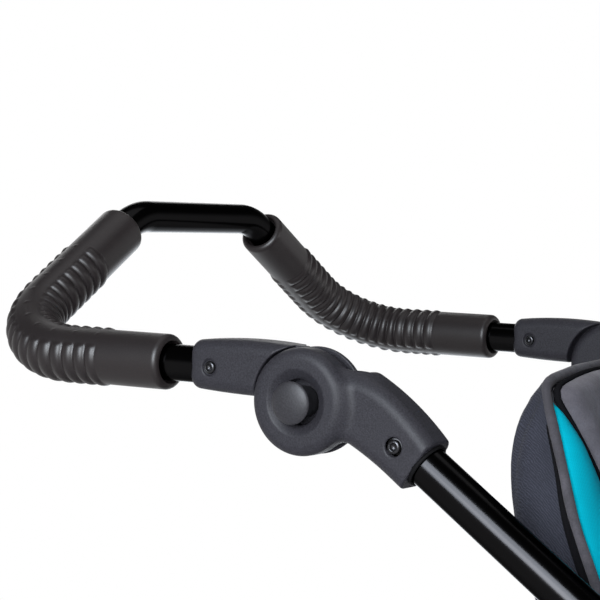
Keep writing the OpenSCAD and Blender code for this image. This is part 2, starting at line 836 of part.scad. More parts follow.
// Cloth from the seat front down to the footrest
module calf_panel() {
  rows = 8;
  half = 140;
  a = front_bar + [bar_r + run, 0, 0];
  b = [max(a[0], foot_x - foot_length / 2 + 6), 0, foot_top + run];
  color("#474a57") sheet([for (j = [0:rows], f = j / rows) [for (u = [-1:0.25:1])
    [a[0] + (b[0] - a[0]) * f - 10 * sin(180 * f) + 5 * u * u * sin(180 * f), half * u * (1 - 0.12 * f),
      a[2] + (b[2] - a[2]) * f]]], [cloth_t, 0, 0.3]);
}

module footrest() {
  top = foot_x < bend_point[0] ? tube_point(foot_x - hinge_x) : front_run(foot_x);
  lean = 42;
  corner_r = 14;
  ribs = 5;
  low = [foot_x, top[1] - lean, foot_low];
  color("#26262a") difference() {
    union() {
      tube_path([top, low, flip(low), flip(top)], [30, 30], 2 * foot_bar_r, 0);
      difference() {
        translate([foot_x - foot_length / 2, -foot_half, foot_top - foot_plate])
          cube([foot_length, 2 * foot_half, foot_plate]);
        for (k = [0:ribs - 1]) translate([foot_x - foot_length / 2 + 16 + k * 22, -foot_half + 14,
          foot_top - 1.5]) cube([10, 2 * foot_half - 28, 3]);
        for (sx = [-1, 1], sy = [-1, 1])
          translate([foot_x + sx * foot_length / 2, sy * foot_half, 0]) rotate(45)
            cube([corner_r, corner_r, big], center = true);
      }
    }
    both_sides() rod(bend_point, nose, tube_od / 2 + fit);
    both_sides() tube_clearance();
    both_sides() translate(top + [0, 0, big / 20]) cube(big / 10, center = true);
  }
}

// Open cloth basket, drawn in towards the floor
module basket() {
  n = 48;
  outline = function(z, inset) [for (k = [0:n - 1], a = 360 * k / n,
      c = cos(a), s = sin(a), p = pow(pow(abs(c), 5) + pow(abs(s), 5), -0.2))
    basket_mid + [(basket_half[0] - inset) * c * p, (basket_half[1] - inset) * s * p, z]];
  w = basket_wall;
  color("#2b2c33") loft([
    outline(basket_floor, 46), outline(basket_floor + 8, 28), outline(basket_floor + 40, 16),
    outline(basket_top - 40, 4), outline(basket_top - 14, 1), outline(basket_top, 0),
    outline(basket_top, w + 3), outline(basket_top - 14, w + 2), outline(basket_top - 40, w + 4),
    outline(basket_floor + 40, w + 16), outline(basket_floor + 8 + w, w + 28),
    outline(basket_floor + w, w + 46)]);
}

module basket_straps() {
  t = 2;
  half = 12;
  y = basket_half[1] + run;
  zl = basket_top - 18;
  back = [basket_mid[0] - basket_half[0] / 2, y, zl];
  color("#1d1d20") both_sides() {
    sheet([for (z = [zl, rear_bar[2] - bar_r - run]) [for (s = [-1, 1]) [rear_bar[0] + s * half, y, z]]],
      [0, t, 0]);
    sheet([for (e = [back, [recline[0] - 10, hanger_y - hanger_t / 2 - t - run, recline[2]]])
      [for (s = [-1, 1]) [e[0] + s * half, e[1], e[2] - s * 6]]], [0, t, 0]);
    sheet([for (e = [[basket_mid[0] + basket_half[0] + run, zl],
        [front_bar[0] - bar_r - t - run, front_bar[2]]])
      [for (s = [-1, 1]) [e[0], 120 + s * half, e[1]]]], [t, 0, 0]);
  }
}

// Folding rear legs
module fold_brackets() {
  length = 44;
  r = 15;
  color("#26262a") both_sides() difference() {
    union() {
      tube_clamp(fold_at, length);
      for (v = [-cheek_in - cheek_t, cheek_in])
        plate([tube_point(fold_at), leg_top], [r, r], half_width + v, cheek_t);
    }
    tube_clearance();
    across(leg_top, 0, big, fold_bolt_r + fit);
    across(leg_top, half_width - cheek_in, half_width + cheek_in, leg_boss_half + 4);
  }
}

module fold_bolts() {
  outer = half_width + cheek_in + cheek_t;
  color("silver") both_sides() {
    across(leg_top, half_width - cheek_in - cheek_t - 3, outer + lever_t + 1 + 4, fold_bolt_r);
    across(leg_top, half_width - cheek_in - cheek_t - 3.2, half_width - cheek_in - cheek_t, 8);
    across(leg_top, outer + lever_t + 0.8, outer + lever_t + 5, 9);
  }
}

module fold_lever(side) {
  outer = half_width + cheek_in + cheek_t + 0.4;
  lever_back = 46;
  lever_drop = 34;
  tip = leg_top - [lever_back, 0, lever_drop];
  color("#00adc8") on_side(side) difference() {
    plate([leg_top, tip], [13, 9], outer, lever_t);
    across(leg_top, 0, big, fold_bolt_r + turn);
  }
}

module rear_legs() {
  color("#0b0a0b") both_sides() difference() {
    union() {
      rod(leg_top, leg_low - leg_dir * leg_gap, leg_od / 2);
      across(leg_top, half_width - leg_boss_half, half_width + leg_boss_half, leg_boss_half);
    }
    rod(leg_top + leg_dir * 30, leg_low, leg_od / 2 - tube_wall);
    across(leg_top, 0, big, fold_bolt_r + turn);
  }
}

module axle_blocks() {
  socket = 66;
  r = 22;
  ear_r = 13;
  ear_step = 4;
  color("#4a4a52") both_sides() difference() {
    union() {
      across(leg_low, half_width - block_half, half_width + block_half, r);
      rod(leg_low, leg_low - leg_dir * socket, leg_od / 2 + 4);
      plate([leg_low, brake_rod_c], [ear_r, ear_r], half_width - block_half + ear_step,
        2 * block_half - 1.5 * ear_step);
    }
    rod(leg_low - leg_dir * leg_gap, leg_low - leg_dir * big / 4, leg_od / 2 + fit);
    across(leg_low, 0, big, axle_seat_r + fit);
    across(leg_low, 0, half_width - block_half, beam_r + fit);
    across(brake_rod_c, 0, big, brake_rod_r + turn);
  }
}

module rear_axle() {
  cap = 4;
  color("#1a1a1c") {
    across(leg_low, -half_width + block_half, half_width - block_half, beam_r);
    both_sides() {
      across(leg_low, half_width - block_half - 1, half_width + block_half, axle_seat_r);
      across(leg_low, half_width + block_half - 1, hub_out + cap, axle_r);
      across(leg_low, hub_out + run, hub_out + cap, axle_r + 4);
    }
  }
}

module brake_bar() {
  pin = brake_rod_c + brake_arm * [-sin(brake_rest), 0, -cos(brake_rest)];
  pedal = [70, 150, 12];
  color("#26262a") difference() {
    union() {
      across(brake_rod_c, -pawl_y - pawl_t / 2, pawl_y + pawl_t / 2, brake_rod_r);
      both_sides() {
        plate([brake_rod_c, pin], [9, 9], pawl_y, pawl_t);
        across(pin, pawl_y + pawl_t / 2, brake_ring_y + brake_ring_t - 2, brake_pin_r);
      }
      translate(brake_rod_c + [-pedal[0], -pedal[1] / 2, -pedal[2] / 2]) cube(pedal);
      across(brake_rod_c, 2 - pedal[1] / 2, pedal[1] / 2 - 2, brake_rod_r + 5);
    }
    for (k = [0:3])
      translate(brake_rod_c + [-pedal[0] + 8 + 12 * k, -pedal[1] / 2 + 10, pedal[2] / 2 - 2])
        cube([6, pedal[1] - 20, 5]);
  }
}

// Wheels: the middle of the wheel is at c, its axle along Y
module tyre(c, r) {
  seat = rim_radius(r) + fit;
  color("#17171a") translate(c) rotate([90, 0, 0]) rotate_extrude() difference() {
    translate([r - section_r, 0]) circle(r = section_r);
    translate([r - section_r, 0]) circle(r = section_r - 4.5);
    translate([0, -big / 2]) square([seat, big]);
  }
}
function rim_radius(r) = r - 1.7 * section_r;

// Rim with moulded spokes; the hub runs from y_in to y_out beside the middle plane
module rim(c, r, y_in, y_out, ring_y) {
  outer = rim_radius(r);
  wall = 9;
  half = 14;
  hub_r = 27;
  spoke_t = 12;
  color("#55565e") difference() {
    union() {
      translate(c) rotate([90, 0, 0]) rotate_extrude() translate([outer - wall, -half])
        square([wall, 2 * half]);
      translate(c) rotate([90, 0, 0]) for (k = [0:spoke_count - 1]) rotate(k * 360 / spoke_count)
        translate([0, 0, -spoke_t / 2]) linear_extrude(spoke_t)
          polygon([[hub_r - 4, -11], [outer - wall + 1, -7], [outer - wall + 1, 7], [hub_r - 4, 11]]);
      across(c, c[1] + y_in, c[1] + y_out, hub_r);
      if (ring_y != 0) brake_ring(c, ring_y);
    }
    across(c, -big, big, axle_r + turn);
    if (ring_y != 0) brake_notches(c, ring_y);
  }
}

module brake_ring(c, y) {
  far = y + sign(y) * (brake_ring_t + 1);
  across(c, min(y, far), max(y, far), brake_ring_r);
}

module brake_notches(c, y) {
  notch_floor = 38.5;
  half = brake_pin_r + 0.9;
  for (k = [0:notch_count - 1]) translate([c[0], y, c[2]]) rotate([0, k * 360 / notch_count, 0])
    translate([notch_floor, -brake_ring_t, -half]) cube([big / 20, 2 * brake_ring_t, 2 * half]);
}

function rear_wheel(side) = [rear_axle_c[0], side * rear_track_half, rear_r];
front_wheel = [front_axle_x, 0, front_r];

module rear_rim(side) {
  c = rear_wheel(side);
  near = side * (hub_in - rear_track_half);
  far = side * hub_half;
  rim(c, rear_r, min(near, far), max(near, far), side * brake_ring_y);
}

module front_rim() {
  rim(front_wheel, front_r, -section_r - 3, section_r + 3, 0);
}

// Front fork with its steering stem
module fork() {
    nut_r = 17;
  nut_t = 8;
  crown_r = 20;
  crown_t = crown_high - crown_low - plate_t;
  steer = [steer_x, 0, crown_low];
  color("#4a4a52") {
    difference() {
      union() {
        translate(steer - [crown_r, fork_y, 0]) cube([2 * crown_r, 2 * fork_y, crown_t]);
        translate(steer + [0, 0, crown_t]) cylinder(h = plate_t, r = plate_r);
        translate([steer_x, 0, crown_high - 1])
          cylinder(h = nose_high + nut_t + 3 - crown_high, r = stem_r);
        both_sides() {
          translate(steer + [0, fork_y, 0]) cylinder(h = crown_t, r = crown_r);
          rod([steer_x, fork_y, crown_low + 8], [front_axle_x, fork_y, front_r], blade_r);
          across(front_wheel, drop_in, drop_out, 15);
        }
      }
      across(front_wheel, -big, big, axle_r + fit);
      for (s = [-1, 1]) translate([steer_x + s * lock_reach, 0, 0])
        cylinder(h = big, r = lock_pin_r + 0.4);
    }
    translate([steer_x, 0, nose_high + run]) difference() {
      cylinder(h = nut_t, r = nut_r);
      translate([0, 0, -1]) cylinder(h = nut_t + 2, r = stem_r + fit);
    }
  }
}

quick_y = section_r + 34;
quick_r = 8;
module front_axle() {
  ear_gap = 3.3;
  color("silver") {
    difference() {
      union() {
        across(front_wheel, -drop_out - 9, drop_out + 1, axle_r);
        across(front_wheel, drop_out + 0.2, quick_y + 8, 9);
      }
      translate([front_wheel[0] - big / 2, quick_y - quick_r - 1, front_r - ear_gap])
        cube([big, big, 2 * ear_gap]);
      translate([front_wheel[0], quick_y, 0]) cylinder(h = big, r = 2.5 + fit);
    }
    translate([front_wheel[0], quick_y, front_r - 8]) cylinder(h = 16, r = 2.5);
    translate([front_wheel[0], -drop_out - 0.2, front_r]) rotate([90, 0, 0]) difference() {
      cylinder(h = 7, r = 10, $fn = 6);
      translate([0, 0, -1]) cylinder(h = 20, r = axle_r + fit);
    }
  }
}

module quick_release() {
  arm = 78;
  color("#b9bbc0") translate([front_wheel[0], quick_y, front_r]) difference() {
    union() {
      translate([0, 0, -3]) cylinder(h = 6, r = quick_r);
      translate([-arm, -2, -3]) cube([arm, 7, 6]);
      translate([-arm, -2, -7]) cube([arm - 20, 7, 14]);
      translate([-arm, -2, 0]) rotate([-90, 0, 0]) cylinder(h = 7, r = 7);
    }
    cylinder(h = big, r = 2.5 + turn, center = true);
  }
}

module swivel_knob() {
  knob_r = 13;
  knob_t = 16;
  at = [steer_x + lock_reach, 0, 0];
  color("#00adc8") translate(at) {
    translate([0, 0, crown_high + lock_lift])
      cylinder(h = nose_high + lock_travel + 3 - crown_high, r = lock_pin_r);
    difference() {
      translate([0, 0, nose_high + lock_travel + 1.5]) cylinder(h = knob_t, r = knob_r);
      for (k = [0:9]) rotate(36 * k) translate([knob_r + 1.5, 0, 0]) cylinder(h = big, r = 2.6);
    }
  }
}

// Backrest
module back_pocket(gap) {
  board_margin = 40;
  board_short = 20;
  board = [back_width - 2 * board_margin, back_height - board_short, 5];
  translate([-board[0] / 2 - gap, -back_height / 2 - back_low - (gap > 0 ? big / 20 : 0),
    -rim_ahead - board[2] / 2 - gap])
    cube([board[0] + 2 * gap, board[1] + gap + (gap > 0 ? big / 20 : 0), board[2] + 2 * gap]);
}

module backrest_board() {
  sleeve_r = recline_r + 5;
  reach = 140;
  color("#26262a") difference() {
    union() {
      on_back() back_pocket(0);
      across(recline, -reach, reach, sleeve_r);
    }
    across(recline, -big, big, recline_r + turn);
  }
}

module backrest_cushion() {
  color("#474a57") on_back() difference() {
    pad(back_size, back_edge, back_crown, back_bulge, back_corner, back_draw, back_arch, back_lines,
      20, 24);
    back_pocket(run);
  }
}

// Plush head pad on the upper backrest
head_width = 250;
head_height = 170;
head_drop = 24;
head_edge = 4;
head_crown = 12;
head_low = back_height / 2 - head_height - head_drop;
module headrest_pad() {
  lift = back_edge / 2 + back_crown + run;
  color("#60606a") on_back() translate([0, head_low + head_height / 2, lift + head_edge / 2])
    pad([head_width, head_height], head_edge, head_crown, 0, 0.3, 0.02, 0, [], 16, 12);
}

belt_gap = 62;
belt_below = 10.25;
belt_run = 172;
module shoulder_belts() {
  steps = 10;
  belt_face = function(u, v) back_edge / 2 + back_crown + run + 0.2 * (1 - v);
  color("#1d1d20") on_back() for (s = [-1, 1])
    strip([for (k = [0:steps]) [s * 2 * belt_gap / back_width,
        2 * (head_low - belt_below - belt_run * k / steps) / back_height, 1, 0]],
      webbing / 2, belt_t, back_size, back_corner, back_draw, back_arch, belt_face);
}

shoulder_width = 52;
shoulder_height = 130;
shoulder_below = 6;
shoulder_edge = 2;
shoulder_crown = 9;
module shoulder_pads() {
  lift = back_edge / 2 + back_crown + 3 * run + belt_t + shoulder_edge / 2;
  color("#60606a") on_back() for (s = [-1, 1])
    translate([s * belt_gap, head_low - shoulder_below - shoulder_height / 2, lift])
      pad([shoulder_width, shoulder_height], shoulder_edge, shoulder_crown, 0, 0.25, 0.02, 0, [], 10, 12);
}

// Hood: cloth panels turned about the pivot, each held by a bow
function hood_radius(k) = hood_r - k * hood_step;
function hood_side(k) = hood_half - k * hood_step;

module hood_profile(r, half, corner) {
  square([r - corner, half]);
  square([r, half - corner]);
  translate([r - corner, half - corner]) circle(r = corner);
}

module hood_panel(k) {
  r = hood_radius(k);
  half = hood_side(k);
  a = hood_angles[k];
  hub_clear = 22;
  color("#474a57") translate([hood_c[0], 0, hood_c[2]]) rotate([90, 0, 0]) rotate([0, 0, a[0]])
    rotate_extrude(angle = a[1] - a[0]) intersection() {
      difference() {
        for (m = [0, 1]) mirror([0, m]) hood_profile(r, half, hood_corner);
        for (m = [0, 1]) mirror([0, m])
          hood_profile(r - hood_cloth, half - hood_cloth, hood_corner - hood_cloth);
      }
      translate([hub_clear, -big / 2]) square(big);
    }
}

module hood_bow(k) {
  inset = hood_cloth + run + bow_od / 2;
  r = hood_radius(k) - inset;
  y = hood_side(k) - inset;
  d = [cos(bow_angles[k]), 0, sin(bow_angles[k])];
  c = [hood_c[0], 0, hood_c[2]];
  side = [0, y, 0];
  eye_r = 12;
  eye_t = bow_od - 1.4;
  color("#1a1a1c") difference() {
    union() {
      tube_path([c + side + d * 8, c + side + d * r, c - side + d * r, c - side + d * 8],
        [hood_corner - inset, hood_corner - inset], bow_od, 0);
      both_sides() across(c, y - eye_t / 2, y + eye_t / 2, eye_r);
    }
    across(c, -big, big, hood_pin_r + turn);
  }
}

module hood_hubs() {
  inner = hood_side(2) - hood_cloth - run - bow_od - 1;
  cap_t = 4;
  color("#26262a") both_sides() difference() {
    union() {
      tube_clamp(hood_at, 30);
      across(hood_c, hood_half + run, half_width, 16);
      across(hood_c, inner - cap_t, half_width, hood_pin_r);
      across(hood_c, inner - cap_t, inner - run, hood_pin_r + 4);
    }
    tube_clearance();
  }
}

handlebar_tube();
grip(1);  // grip_left
grip(-1);  // grip_right
handle_knuckle(1);  // handle_knuckle_left
handle_knuckle(-1);  // handle_knuckle_right
handle_bolts();
frame_knuckle(1);  // frame_knuckle_left
frame_knuckle(-1);  // frame_knuckle_right
frame_bolts();
hinge_button(1);  // hinge_button_left
hinge_button(-1);  // hinge_button_right
lock_gear(1);  // lock_gear_left
lock_gear(-1);  // lock_gear_right
hinge_spring(1);  // hinge_spring_left
hinge_spring(-1);  // hinge_spring_right
main_tube(1);  // main_tube_left
main_tube(-1);  // main_tube_right
nose_block();
seat_hangers();
seat_bars();
seat_cushion();
lap_belts();
buckle();
buckle_button();
side_panels();
calf_panel();
footrest();
basket();
basket_straps();
fold_brackets();
fold_bolts();
fold_lever(1);  // fold_lever_left
fold_lever(-1);  // fold_lever_right
backrest_board();
backrest_cushion();
headrest_pad();
shoulder_belts();
shoulder_pads();
hood_hubs();
hood_panel(0);  // hood_panel_rear
hood_panel(1);  // hood_panel_mid
hood_panel(2);  // hood_panel_front
hood_bow(0);  // hood_bow_rear
hood_bow(1);  // hood_bow_mid
hood_bow(2);  // hood_bow_front
rear_legs();
axle_blocks();
rear_axle();
brake_bar();
tyre(rear_wheel(1), rear_r);  // rear_tyre_left
rear_rim(1);  // rear_rim_left
tyre(rear_wheel(-1), rear_r);  // rear_tyre_right
rear_rim(-1);  // rear_rim_right
tyre(front_wheel, front_r);  // front_tyre
front_rim();
fork();
front_axle();
quick_release();
swivel_knob();
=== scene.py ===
"""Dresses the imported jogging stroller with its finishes, moulded details and soft goods.

Every size is in metres, in the part's own frame: +X forward, +Y left and +Z up.
"""

import json
import logging
import math
from dataclasses import dataclass, field
from enum import Enum
from typing import Callable, Sequence

import bpy
import numpy as np
from mathutils import Matrix

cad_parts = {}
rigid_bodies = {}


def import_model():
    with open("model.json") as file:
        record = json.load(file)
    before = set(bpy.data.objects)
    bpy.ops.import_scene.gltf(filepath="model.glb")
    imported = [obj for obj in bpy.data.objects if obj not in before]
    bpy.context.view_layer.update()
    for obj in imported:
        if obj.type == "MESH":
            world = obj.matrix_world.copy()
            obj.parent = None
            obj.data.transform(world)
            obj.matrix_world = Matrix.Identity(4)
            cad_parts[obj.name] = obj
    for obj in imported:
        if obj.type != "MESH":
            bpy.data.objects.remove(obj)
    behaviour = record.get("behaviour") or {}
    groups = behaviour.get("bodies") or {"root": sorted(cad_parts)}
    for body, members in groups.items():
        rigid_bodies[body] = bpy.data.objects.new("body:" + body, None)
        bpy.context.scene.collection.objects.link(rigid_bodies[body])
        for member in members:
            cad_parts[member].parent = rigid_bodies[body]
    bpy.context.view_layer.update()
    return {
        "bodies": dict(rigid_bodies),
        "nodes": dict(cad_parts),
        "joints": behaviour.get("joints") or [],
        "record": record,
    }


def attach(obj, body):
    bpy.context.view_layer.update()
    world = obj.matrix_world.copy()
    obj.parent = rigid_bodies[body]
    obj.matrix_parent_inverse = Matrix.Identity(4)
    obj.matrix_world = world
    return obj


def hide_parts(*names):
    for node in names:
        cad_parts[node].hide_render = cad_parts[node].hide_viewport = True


LOG = logging.getLogger("stroller")
Array = np.ndarray
Pair = tuple[float, float]
Triple = tuple[float, float, float]
Faces = list[tuple[int, ...]]
Mesh = tuple[Array, Faces]
Field = Callable[[Array], Array]
Tree = bpy.types.NodeTree
Socket = bpy.types.NodeSocket
SIDES = {"left": 1, "right": -1}
AHEAD, LEFT, UP = np.eye(3)


# Material nodes and finishes


def set_inputs(tree: Tree, node: bpy.types.Node, inputs: dict) -> None:
    """Sets the inputs of a node.

    Args:
        tree: The nodes that it belongs to.
        node: The node.
        inputs: A value, or another node's output, for each input.
    """
    for name, value in inputs.items():
        if isinstance(value, Socket):
            tree.links.new(value, node.inputs[name])
        else:
            node.inputs[name].default_value = value


def add_node(tree: Tree, kind: str, out: str | int, inputs: dict, **settings: str) -> Socket:
    """Adds a node to a material or to the world.

    Args:
        tree: The nodes to add to.
        kind: The node's type, without its prefix.
        out: The output that is wanted.
        inputs: A value, or another node's output, for each input.
        settings: The node's other settings.

    Returns:
        The output.
    """
    node = tree.nodes.new("ShaderNode" + kind)
    for name, value in settings.items():
        setattr(node, name, value)
    set_inputs(tree, node, inputs)
    return node.outputs[out]


def math_node(tree: Tree, how: str, a: Socket, b: Socket) -> Socket:
    """Combines two values by the named operation."""
    return add_node(tree, "Math", 0, {0: a, 1: b}, operation=how)


def range_node(tree: Tree, value: Socket, span: Sequence, ends: Sequence, how: str = "LINEAR") -> Socket:
    """Maps a value from one span to another, with the named blend between the ends."""
    limits = dict(zip(("From Min", "From Max", "To Min", "To Max"), (*span, *ends)))
    return add_node(tree, "MapRange", "Result", {"Value": value, **limits}, interpolation_type=how)


class Grain(Enum):
    """Kinds of fine surface that a finish can have."""

    MOULDED = "moulded"
    PAINT = "paint"
    KNIT = "knit"
    WEAVE = "weave"
    PLUSH = "plush"
    WEBBING = "webbing"
    BRUSHED = "brushed"


@dataclass(frozen=True)
class Finish:
    """One surface finish, with the size of its grain in metres."""

    name: str
    color: Triple
    rough: float
    grain: Grain
    size: float
    depth: float = 0.25
    vary: float = 0.12
    metal: float = 0.0
    sheen: float = 0.0
    specular: float = 0.5
    edge: float = 1.0
    sheen_rough: float = 0.45
    patches: float = 28.0
    rough_vary: float = 0.12
    wave_span: float = 0.314

    def build(self) -> bpy.types.Material:
        """Makes the material, or finds it if it was made before.

        Returns:
            The material with its node tree.
        """
        made = bpy.data.materials.get(self.name)
        if made:
            return made
        made = bpy.data.materials.new(self.name)
        made.use_nodes = True
        tree = made.node_tree
        where = add_node(tree, "TexCoord", "Object", {})
        height = self.relief(tree, where)
        patch = self.noise(tree, where, self.patches, 4.0)
        ends = self.rough * (1 - self.rough_vary), min(1.0, self.rough * (1 + self.rough_vary))
        bump = {"Strength": self.depth, "Distance": self.size * 0.5, "Height": height}
        set_inputs(tree, tree.nodes["Principled BSDF"], {
            "Base Color": self.tint(tree, patch, height),
            "Roughness": range_node(tree, patch, (0.0, 1.0), ends),
            "Metallic": self.metal,
            "Specular IOR Level": self.specular,
            "Specular Tint": (self.edge,) * 3 + (1.0,),
            "Sheen Weight": self.sheen,
            "Sheen Roughness": self.sheen_rough,
            "Normal": add_node(tree, "Bump", "Normal", bump)})
        return made

    def noise(self, tree: Tree, where: Socket, scale: float, detail: float) -> Socket:
        """Adds noise with so many grains per metre and so many octaves of finer noise."""
        return add_node(tree, "TexNoise", "Fac", {"Vector": where, "Scale": scale, "Detail": detail})

    def bands(self, tree: Tree, where: Socket, axis: str, period: float, wobble: float) -> Socket:
        """Adds the height of parallel threads, which lie a period apart along an axis and wander a little."""
        inputs = {"Vector": where, "Scale": self.wave_span / period, "Distortion": wobble, "Detail": 1.0}
        return add_node(tree, "TexWave", "Fac", inputs, wave_type="BANDS", bands_direction=axis)

    def relief(self, tree: Tree, where: Socket) -> Socket:
        """Makes the height pattern of the grain.

        Args:
            tree: The material's nodes.
            where: The coordinates.

        Returns:
            The height value.
        """
        per_metre = 1.0 / self.size
        if self.grain is Grain.KNIT:
            rows = self.bands(tree, where, "DIAGONAL", self.size, 5.0)
            return math_node(tree, "ADD", rows, self.noise(tree, where, per_metre * 0.7, 3.0))
        if self.grain is Grain.WEAVE:
            threads = [self.bands(tree, where, axis, self.size, 0.4) for axis in "XYZ"]
            pair = math_node(tree, "MAXIMUM", threads[0], threads[1])
            return math_node(tree, "ADD", pair, threads[2])
        if self.grain is Grain.WEBBING:
            slant = self.bands(tree, where, "DIAGONAL", self.size, 0.2)
            return math_node(tree, "ADD", slant, self.bands(tree, where, "Y", self.size * 0.8, 0.2))
        if self.grain is Grain.PLUSH:
            fine = self.noise(tree, where, per_metre, 6.0)
            return math_node(tree, "ADD", fine, self.noise(tree, where, per_metre * 0.16, 2.0))
        if self.grain is Grain.BRUSHED:
            drawn = add_node(tree, "Mapping", "Vector", {"Vector": where, "Scale": (1.0, 0.06, 1.0)})
            return self.noise(tree, drawn, per_metre, 3.0)
        return self.noise(tree, where, per_metre, 3.0 if self.grain is Grain.MOULDED else 1.0)

    def tint(self, tree: Tree, patch: Socket, height: Socket) -> Socket:
        """Varies the colour in patches and with the grain.

        Args:
            tree: The material's nodes.
            patch: The broad noise.
            height: The height of the grain.

        Returns:
            The colour.
        """
        ramp = tree.nodes.new("ShaderNodeValToRGB")
        low, high = ramp.color_ramp.elements
        low.position, high.position = 0.3, 0.75
        low.color = tuple(c * (1 - self.vary) for c in self.color) + (1.0,)
        high.color = tuple(min(1.0, c * (1 + self.vary)) for c in self.color) + (1.0,)
        source = patch
        if self.grain is Grain.MOULDED:
            source = height
        elif self.grain in (Grain.KNIT, Grain.WEAVE, Grain.PLUSH, Grain.WEBBING):
            source = math_node(tree, "MULTIPLY", height, patch)
        tree.links.new(source, ramp.inputs["Fac"])
        return ramp.outputs["Color"]


BLACK_PAINT = Finish("gloss_black_paint", (0.0085, 0.0083, 0.0087), 0.18, Grain.PAINT, 0.004, 0.01, 0.05,
                     metal=1.0, edge=0.5)
SATIN_PAINT = Finish("satin_black_paint", (0.02, 0.02, 0.022), 0.42, Grain.PAINT, 0.0006, 0.06, 0.1,
                     specular=0.4)
GRIP_FOAM = Finish("grip_foam", (0.0188, 0.0152, 0.0163), 0.42, Grain.MOULDED, 0.0008, 0.1, 0.2,
                   specular=0.23)
HOUSING = Finish("housing_nylon", (0.0335, 0.0335, 0.0425), 0.5, Grain.MOULDED, 0.0011, 0.22, 0.3,
                 specular=0.11)
BUTTON = Finish("button_nylon", (0.033, 0.033, 0.040), 0.46, Grain.MOULDED, 0.0010, 0.18, 0.26,
                specular=0.18)
GASKET = Finish("dark_gasket", (0.007, 0.007, 0.008), 0.7, Grain.MOULDED, 0.0008, 0.1, 0.15, specular=0.04)
BOLT = Finish("dark_bolt_steel", (0.022, 0.022, 0.025), 0.3, Grain.BRUSHED, 0.0004, 0.08, 0.15, metal=0.7)
STEEL = Finish("zinc_steel", (0.42, 0.42, 0.44), 0.3, Grain.BRUSHED, 0.0005, 0.08, 0.15, metal=1.0)
ALLOY = Finish("satin_alloy", (0.62, 0.62, 0.64), 0.34, Grain.BRUSHED, 0.0005, 0.1, 0.1, metal=1.0)
KNIT_GREY = Finish("knit_grey", (0.042, 0.046, 0.066), 0.9, Grain.KNIT, 0.0013, 0.4, 0.24, sheen=0.06,
                   specular=0.08)
BINDING = Finish("binding_grey", (0.092, 0.091, 0.110), 0.95, Grain.PLUSH, 0.0012, 0.6, 0.3, sheen=0.12,
                 specular=0.1)
# Near-black cloth for tubes that paint shade in the backrest's creases and crevices; it is not a real seam.
PAINTED_SHADE = Finish("painted_shade_cloth", (0.007, 0.007, 0.009), 0.95, Grain.WEAVE, 0.0012, 0.2, 0.2, specular=0.03)
PLUSH_GREY = Finish("plush_grey", (0.146, 0.144, 0.174), 0.95, Grain.PLUSH, 0.0013, 0.55, 0.22, sheen=0.15,
                    specular=0.08)
TEAL = Finish("teal_weave", (0.0, 0.53, 0.73), 0.9, Grain.WEAVE, 0.0009, 0.25, 0.07, sheen=0.02,
              specular=0.03)
GREY_WEAVE = Finish("grey_weave", (0.055, 0.058, 0.076), 0.85, Grain.WEAVE, 0.0011, 0.35, 0.2, sheen=0.1,
                    specular=0.2)
WEBBING = Finish("black_webbing", (0.017, 0.017, 0.02), 0.7, Grain.WEBBING, 0.0021, 0.5, 0.2, sheen=0.1,
                 specular=0.3)
BASKET_CLOTH = Finish("basket_cloth", (0.024, 0.025, 0.032), 0.8, Grain.WEAVE, 0.0016, 0.5, 0.25,
                      sheen=0.08, specular=0.25)
RUBBER = Finish("tyre_rubber", (0.017, 0.017, 0.019), 0.72, Grain.MOULDED, 0.0009, 0.2, 0.2, specular=0.35)
RIM = Finish("rim_nylon", (0.05, 0.05, 0.058), 0.44, Grain.MOULDED, 0.0007, 0.14, 0.12, specular=0.42)
BLACK_NYLON = Finish("black_nylon", (0.014, 0.014, 0.016), 0.4, Grain.MOULDED, 0.0006, 0.12, 0.12,
                     specular=0.42)
RED = Finish("red_press", (0.42, 0.02, 0.03), 0.3, Grain.MOULDED, 0.0008, 0.06, 0.08)
TEAL_NYLON = Finish("teal_nylon", (0.0, 0.38, 0.50), 0.42, Grain.MOULDED, 0.0006, 0.1, 0.06)


# Mesh tools


def add_piece(name: str, points: Array, faces: Sequence, finish: Finish,
              body: str, replaces: Sequence[str] = ()) -> bpy.types.Object:
    """Makes a smooth mesh piece that rides on a body.

    Args:
        name: The piece's name.
        points: Vertex places, one row each.
        faces: Vertex indices of each face.
        finish: The surface finish.
        body: The CAD body that it moves with.
        replaces: CAD nodes that it stands for.

    Returns:
        The new object.
    """
    mesh = bpy.data.meshes.new(name)
    mesh.from_pydata(np.asarray(points, float).tolist(), [], [list(map(int, f)) for f in faces])
    mesh.validate()
    mesh.shade_smooth()
    piece = bpy.data.objects.new(name, mesh)
    bpy.context.scene.collection.objects.link(piece)
    mesh.materials.append(finish.build())
    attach(piece, body)
    if replaces:
        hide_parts(*replaces)
    LOG.info("%s: %d points", name, len(mesh.vertices))
    return piece


def quads(rows: int, cols: int, wrap: bool = True, ring: bool = False) -> Faces:
    """Faces of a grid of points.

    Args:
        rows: Number of rows.
        cols: Points in each row.
        wrap: Whether a row closes on itself.
        ring: Whether the last row joins the first.

    Returns:
        Four indices for each face.
    """
    last = cols if wrap else cols - 1
    return [(i * cols + j, i * cols + (j + 1) % cols,
             (i + 1) % rows * cols + (j + 1) % cols, (i + 1) % rows * cols + j)
            for i in range(rows if ring else rows - 1) for j in range(last)]


def full_turn(count: int) -> Array:
    """Evenly spread angles round a full turn."""
    return np.linspace(0, 2 * math.pi, count, endpoint=False)


def raised(flat: Array, height: Array | float) -> Array:
    """Adds a height to places that have two numbers each."""
    return np.concatenate([flat, np.broadcast_to(height, flat.shape[:-1])[..., None]], -1)


def smooth_step(low: float, high: float, x: Array) -> Array:
    """Rises smoothly from 0 at low to 1 at high."""
    t = np.clip((x - low) / (high - low), 0.0, 1.0)
    return t * t * (3.0 - 2.0 * t)


def unit(v: Array) -> Array:
    """The vector with length one."""
    return np.asarray(v, float) / np.linalg.norm(v)


